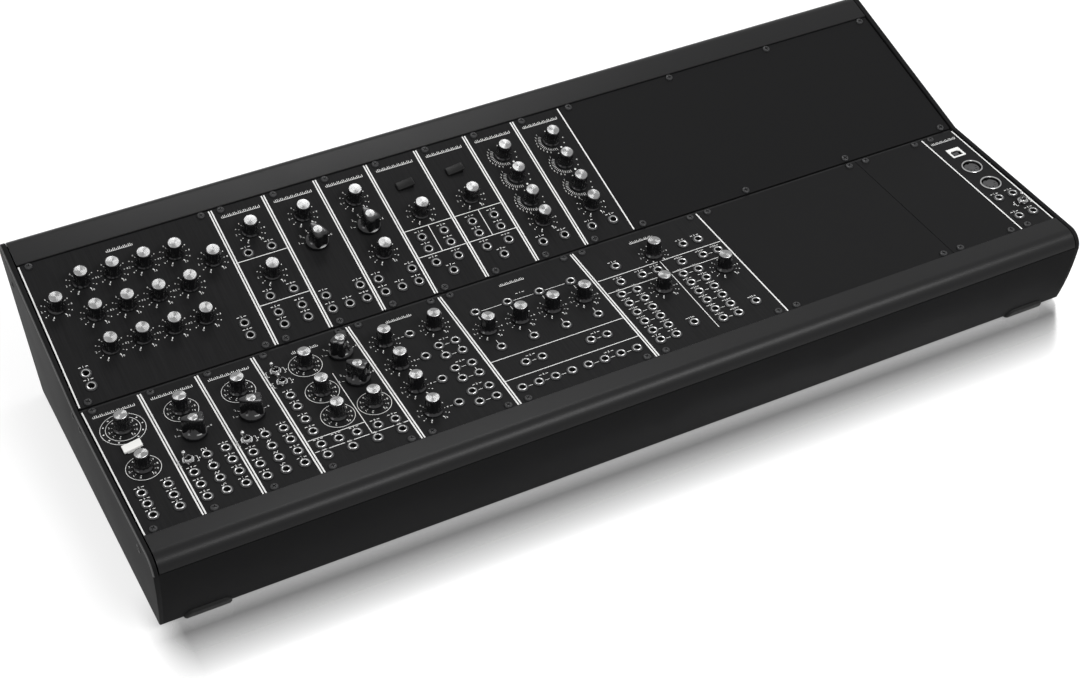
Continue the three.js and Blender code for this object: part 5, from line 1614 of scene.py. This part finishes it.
# Jacks that share a number, jacks joined by a stroke, and knobs joined to a jack, all by
# their order in the layout
LABELLED = {"mixer": [(6, 7), (10, 11), (14, 15)],
            "attenuator": [(1, 2), (8, 9), (10, 11), (13, 14), (17, 18)]}
JACK_LINKS = {
    "mixer": [(4, 5), (6, 7), (4, 6), (5, 7), (8, 9), (10, 11), (8, 10), (9, 11), (12, 13),
              (14, 15)],
    "attenuator": [(k, k + 1) for k in (0, 1, 2, 8, 10, 12, 13, 14, 16, 17, 18)],
    "interface": [(half + k, half + k + 1) for half in (3, 19) for k in (1, *range(3, 15, 2))],
    **dict.fromkeys(SINGLE_OSCILLATORS, [(1, 3), (5, 7)]),
}
KNOB_LINKS = {"mixer": [(k, k) for k in range(4)],
              "attenuator": [(k, jack) for k in range(4) for jack in (k, k + 4)]}


def print_module(ink, module, edge_stroke):
    """Prints one module: its edge lines, ruled lines and caption, the scales round its
    controls, the numbers of its jacks, and the strokes between what belongs together."""
    name = module.label
    knobs, jacks = module.places("knobs"), module.places("jacks")
    for u in (module.left + 0.95, module.left + module.width - 0.95):
        ink.line((u, 0.8), (u, PANEL_HEIGHT - 0.8), edge_stroke)
    for rule in RULES.get(name, []):
        ends = np.reshape(rule, (2, 2)) + [module.left, 0]
        ink.line(*ends, 0.55)
    span = 29 if module.width < 8.5 * UNIT else 19
    caption(ink, (module.middle, 119.5), min(span, module.width * 0.72))
    for number, place in enumerate(knobs):
        if name.endswith("envelope") and number < 3:
            fan_scale(ink, place)
        else:
            numbered_scale(ink, place, name in RINGED)
    if name == "driver":
        ink.ring(knobs[0], 15.2)
        for step in range(11):
            ink.dot(knobs[0] + 13.4 * spoke(SCALE_START - SCALE_STEP * step), 0.6)
    for place in module.places("pointers"):
        selector_marks(ink, place)
    for place in module.places("toggles"):
        toggle_bracket(ink, place)
    waves = (0, 2, 4, 6) if name in SINGLE_OSCILLATORS else ()
    for k, wave in zip(waves, WAVES):
        ink.path(*(np.array(wave) * 1.3 + jacks[k] + [0, LABEL_RISE]))
    singles = [(k,) for k in range(len(jacks)) if k not in waves]
    for number, labelled in enumerate(LABELLED.get(name, singles), 1):
        jack_number(ink, number, np.mean([jacks[k] for k in labelled], 0))
    for starts, clear, pairs in ((jacks, JACK_CLEAR, JACK_LINKS),
                                 (knobs, KNOB_CLEAR, KNOB_LINKS)):
        for first, second in pairs.get(name, []):
            along = unit_vector(jacks[second] - starts[first])
            ink.line(starts[first] + along * clear, jacks[second] - along * JACK_CLEAR)


class SYNTH_OT_print(bpy.types.Operator):
    """Prints edge lines, scales, numbers, links and ruled lines on the panels"""
    bl_idname = "synth.print"
    bl_label = "Print"

    def execute(self, context):
        controls = in_millimetres(context.scene.synth_controls)
        for label, face in FACES.items():
            ink = Ink(controls)
            for module in PANELS:
                if module.face is face and not module.blank:
                    print_module(ink, module, controls.edge_stroke)
            Piece(f"{label}_print").add(ink.shell()).build(
                ["white_ink"], "case", "panel_finish", face=face)
        return {"FINISHED"}


class SYNTH_OT_power(bpy.types.Operator):
    """Makes the power plate on the rear face, with its inlet, its screws and its rocker"""
    bl_idname = "synth.power"
    bl_label = "Power plate"

    def execute(self, context):
        controls = in_millimetres(context.scene.synth_controls)
        view = SideView(in_millimetres(context.scene.synth_case))
        joint = next(j for j in frame["joints"] if j["child"] == "power_rocker")
        top, offset = PANEL_THICKNESS, 16
        out = np.array([0, *view.rear_out])
        centre = np.array([offset, 0, 0]) + out * (top - controls.rocker_pivot)
        rear = Face(joint["pos_m"] - centre * MM, (1, 0, 0), (0, *view.rear_down), out)
        inlet = (-offset, 0)
        hole = rectangle(controls.rocker_length - 2 * ROCKER_REST, controls.rocker_width)
        plate = Piece("power_inlet_plate").add(flat_outline(
            rectangle(64, 26, 2.5), [circle(5.6, 32) + inlet, hole + [offset, 0]], 0, top, 0.3))
        plate.fit(turned([(3, -8), (5.2, -8), (5.2, top + 1.2), (4.9, top + 1.5),
                          (3.3, top + 1.5), (3, top + 1.2)], 40, loop=True), inlet)
        plate.fit(plug(5.2, -9, -7.5, 32), inlet)
        plate.fit(turned([(0, -8), (1, -8), (1, top - 0.5), (0.6, top), (0, top)], 20),
                  inlet, 1)
        plate.fit(screw_shell(2.4, 1.2), [(-28.5, 0, top), (28.5, 0, top)], 2, [0.4, 1.1])
        plate.build(["dark_plastic", "bright_plating", "screw_black"], "case",
                    "inlet_plastic", ["power_plate"], rear)
        Piece("power_rocker_cap").fit(rocker_shell(controls), (offset, 0, top)).build(
            ["rocker_black"], "power_rocker", "knob_plastic", ["power_rocker"], rear)
        return {"FINISHED"}


# The studio

CAMERA_PLACE = (-0.545017, -1.030533, 0.994904)
CAMERA_TURN = (49.3188, -0.0067, -27.4167)
CAMERA_LENS = 68.19
FLOOR_SPAN = 30.0
POLISH_DEPTH = 0.048             # the floor's polish ends this far from the front edge
POLISH_ENDS = (-0.015, 0.010)    # and falls off between these distances past the ends
WHITE = (1.0, 1.0, 1.0, 1.0)
# Soft lights: a place, a point that they face, a width, a height and a power
SOFTBOXES = {
    "key_softbox": ((0.45, 1.1, 1.9), (0.0, 0.0, 0.05), 0.8, 0.5, 9.0),
    "nose_softbox": ((0.5, -0.95, 1.3), (0.1, -0.15, 0.05), 1.4, 0.4, 21.0),
    "left_softbox": ((-2.0, -0.2, 1.0), (0.0, 0.0, 0.05), 0.8, 0.8, 8.0),
}


def background_share(tree):
    """One where the camera, a mirror or glass looks straight at the surface."""
    path = tree.nodes.new("ShaderNodeLightPath")
    seen = math_node(tree, "MAXIMUM", path.outputs["Is Camera Ray"],
                     path.outputs["Is Glossy Ray"])
    return math_node(tree, "MAXIMUM", seen, path.outputs["Is Transmission Ray"])


def falling(tree, value, start, end):
    """A share that falls from one to nothing between two values."""
    return add_node(tree, "ShaderNodeMapRange", {
        "Value": math_node(tree, "ABSOLUTE", value), "From Min": start, "From Max": end,
        "To Min": 1.0, "To Max": 0.0}).outputs[0]


class SYNTH_OT_studio(bpy.types.Operator):
    """Makes the pale floor, the soft lights and the camera"""
    bl_idname = "synth.studio"
    bl_label = "Studio"

    def execute(self, context):
        scene = context.scene
        self.make_floor(scene.synth_colours)
        self.make_world(scene)
        for name, (place, aim, width, height, power) in SOFTBOXES.items():
            data = bpy.data.lights.new(name, "AREA")
            data.shape, data.size, data.size_y, data.energy = "RECTANGLE", width, height, power
            light = bpy.data.objects.new(name, data)
            light.location = place
            light.rotation_euler = (Vector(aim) - Vector(place)).to_track_quat(
                "-Z", "Y").to_euler()
            scene.collection.objects.link(light)
        data = bpy.data.cameras.new("photograph_view")
        data.lens, data.sensor_width, data.clip_end = CAMERA_LENS, 36.0, 50.0
        camera = bpy.data.objects.new("photograph_view", data)
        camera.location = CAMERA_PLACE
        camera.rotation_euler = [math.radians(turn) for turn in CAMERA_TURN]
        scene.collection.objects.link(camera)
        scene.camera = camera
        scene.view_settings.view_transform = "Standard"
        return {"FINISHED"}

    def make_floor(self, colours):
        """A pale floor that shows white to the camera where no shadow lies. It is polished
        along the object's front edge. The polish is the product of two shares that fall to
        nothing away from that edge and towards its two ends."""
        mesh = bpy.data.meshes.new("studio_floor")
        mesh.from_pydata([(*point, 0) for point in rectangle(FLOOR_SPAN, FLOOR_SPAN)], [],
                         [(0, 1, 2, 3)])
        material = bpy.data.materials.new("studio_floor")
        material.use_nodes = True
        tree = material.node_tree
        seen = background_share(tree)
        matt, polished = (add_node(tree, "ShaderNodeBsdfPrincipled", {
            "Base Color": base, "Metallic": metallic, "Roughness": roughness,
            "Emission Color": WHITE,
            "Emission Strength": math_node(tree, "MULTIPLY", seen, lift)}).outputs[0]
            for base, metallic, roughness, lift in (
                ((*colours.floor, 1.0), 0.0, 0.5, colours.floor_lift),
                (WHITE, 1.0, 0.2, 0.09)))
        where = tree.nodes.new("ShaderNodeTexCoord").outputs["Object"]
        along, depth = add_node(tree, "ShaderNodeSeparateXYZ", {0: where}).outputs[:2]
        (_, front_edge, _), (right_end, _, _) = CAD_BOX
        near = falling(tree, math_node(tree, "SUBTRACT", depth, front_edge), 0.0,
                       POLISH_DEPTH)
        within = falling(tree, along, *(right_end + past for past in POLISH_ENDS))
        polish = math_node(tree, "MULTIPLY", math_node(tree, "MULTIPLY", near, within),
                           colours.floor_polish)
        mixed = add_node(tree, "ShaderNodeMixShader", {0: polish, 1: matt, 2: polished})
        tree.links.new(mixed.outputs[0], tree.nodes["Material Output"].inputs["Surface"])
        mesh.materials.append(material)
        floor = bpy.data.objects.new("studio_floor", mesh)
        bpy.context.scene.collection.objects.link(floor)

    def make_world(self, scene):
        """White where it is looked at, and a plain grey light elsewhere."""
        world = bpy.data.worlds.new("studio_world")
        world.use_nodes = True
        scene.world = world
        tree, light = world.node_tree, scene.synth_colours.world_light
        background = tree.nodes["Background"]
        background.inputs["Color"].default_value = WHITE
        glow = math_node(tree, "ADD", math_node(tree, "MULTIPLY", background_share(tree),
                                                1.0 - light), light)
        tree.links.new(glow, background.inputs["Strength"])


PIECE_OPERATORS = (
    SYNTH_OT_case, SYNTH_OT_rails, SYNTH_OT_panels, SYNTH_OT_jacks, SYNTH_OT_knobs,
    SYNTH_OT_selectors, SYNTH_OT_switches, SYNTH_OT_sockets, SYNTH_OT_screws,
    SYNTH_OT_print, SYNTH_OT_power, SYNTH_OT_studio)


class SYNTH_PT_sidebar(bpy.types.Panel):
    """Lists the pieces of the synthesizer"""
    bl_idname = "SYNTH_PT_sidebar"
    bl_label = "Modular synthesizer"
    bl_space_type = "VIEW_3D"
    bl_region_type = "UI"
    bl_category = "Synthesizer"

    def draw(self, context):
        column = self.layout.column(align=True)
        for operator in PIECE_OPERATORS:
            column.operator(operator.bl_idname)
        for group in SETTINGS:
            settings = getattr(context.scene, group)
            for name, kind in settings.bl_rna.properties.items():
                if kind.type == "FLOAT":
                    column.prop(settings, name)


CLASSES = (*SETTINGS.values(), *PIECE_OPERATORS, SYNTH_PT_sidebar)


def register():
    for made in CLASSES:
        bpy.utils.register_class(made)
    for name, group in SETTINGS.items():
        setattr(bpy.types.Scene, name, PointerProperty(type=group))


def unregister():
    for name in SETTINGS:
        delattr(bpy.types.Scene, name)
    for made in reversed(CLASSES):
        bpy.utils.unregister_class(made)


def main():
    """Dresses the frame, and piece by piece."""
    register()
    make_finishes(bpy.context.scene.synth_colours)
    for operator in PIECE_OPERATORS:
        category, name = operator.bl_idname.split(".")
        getattr(getattr(bpy.ops, category), name)()


if __name__ == "__main__":
    main()
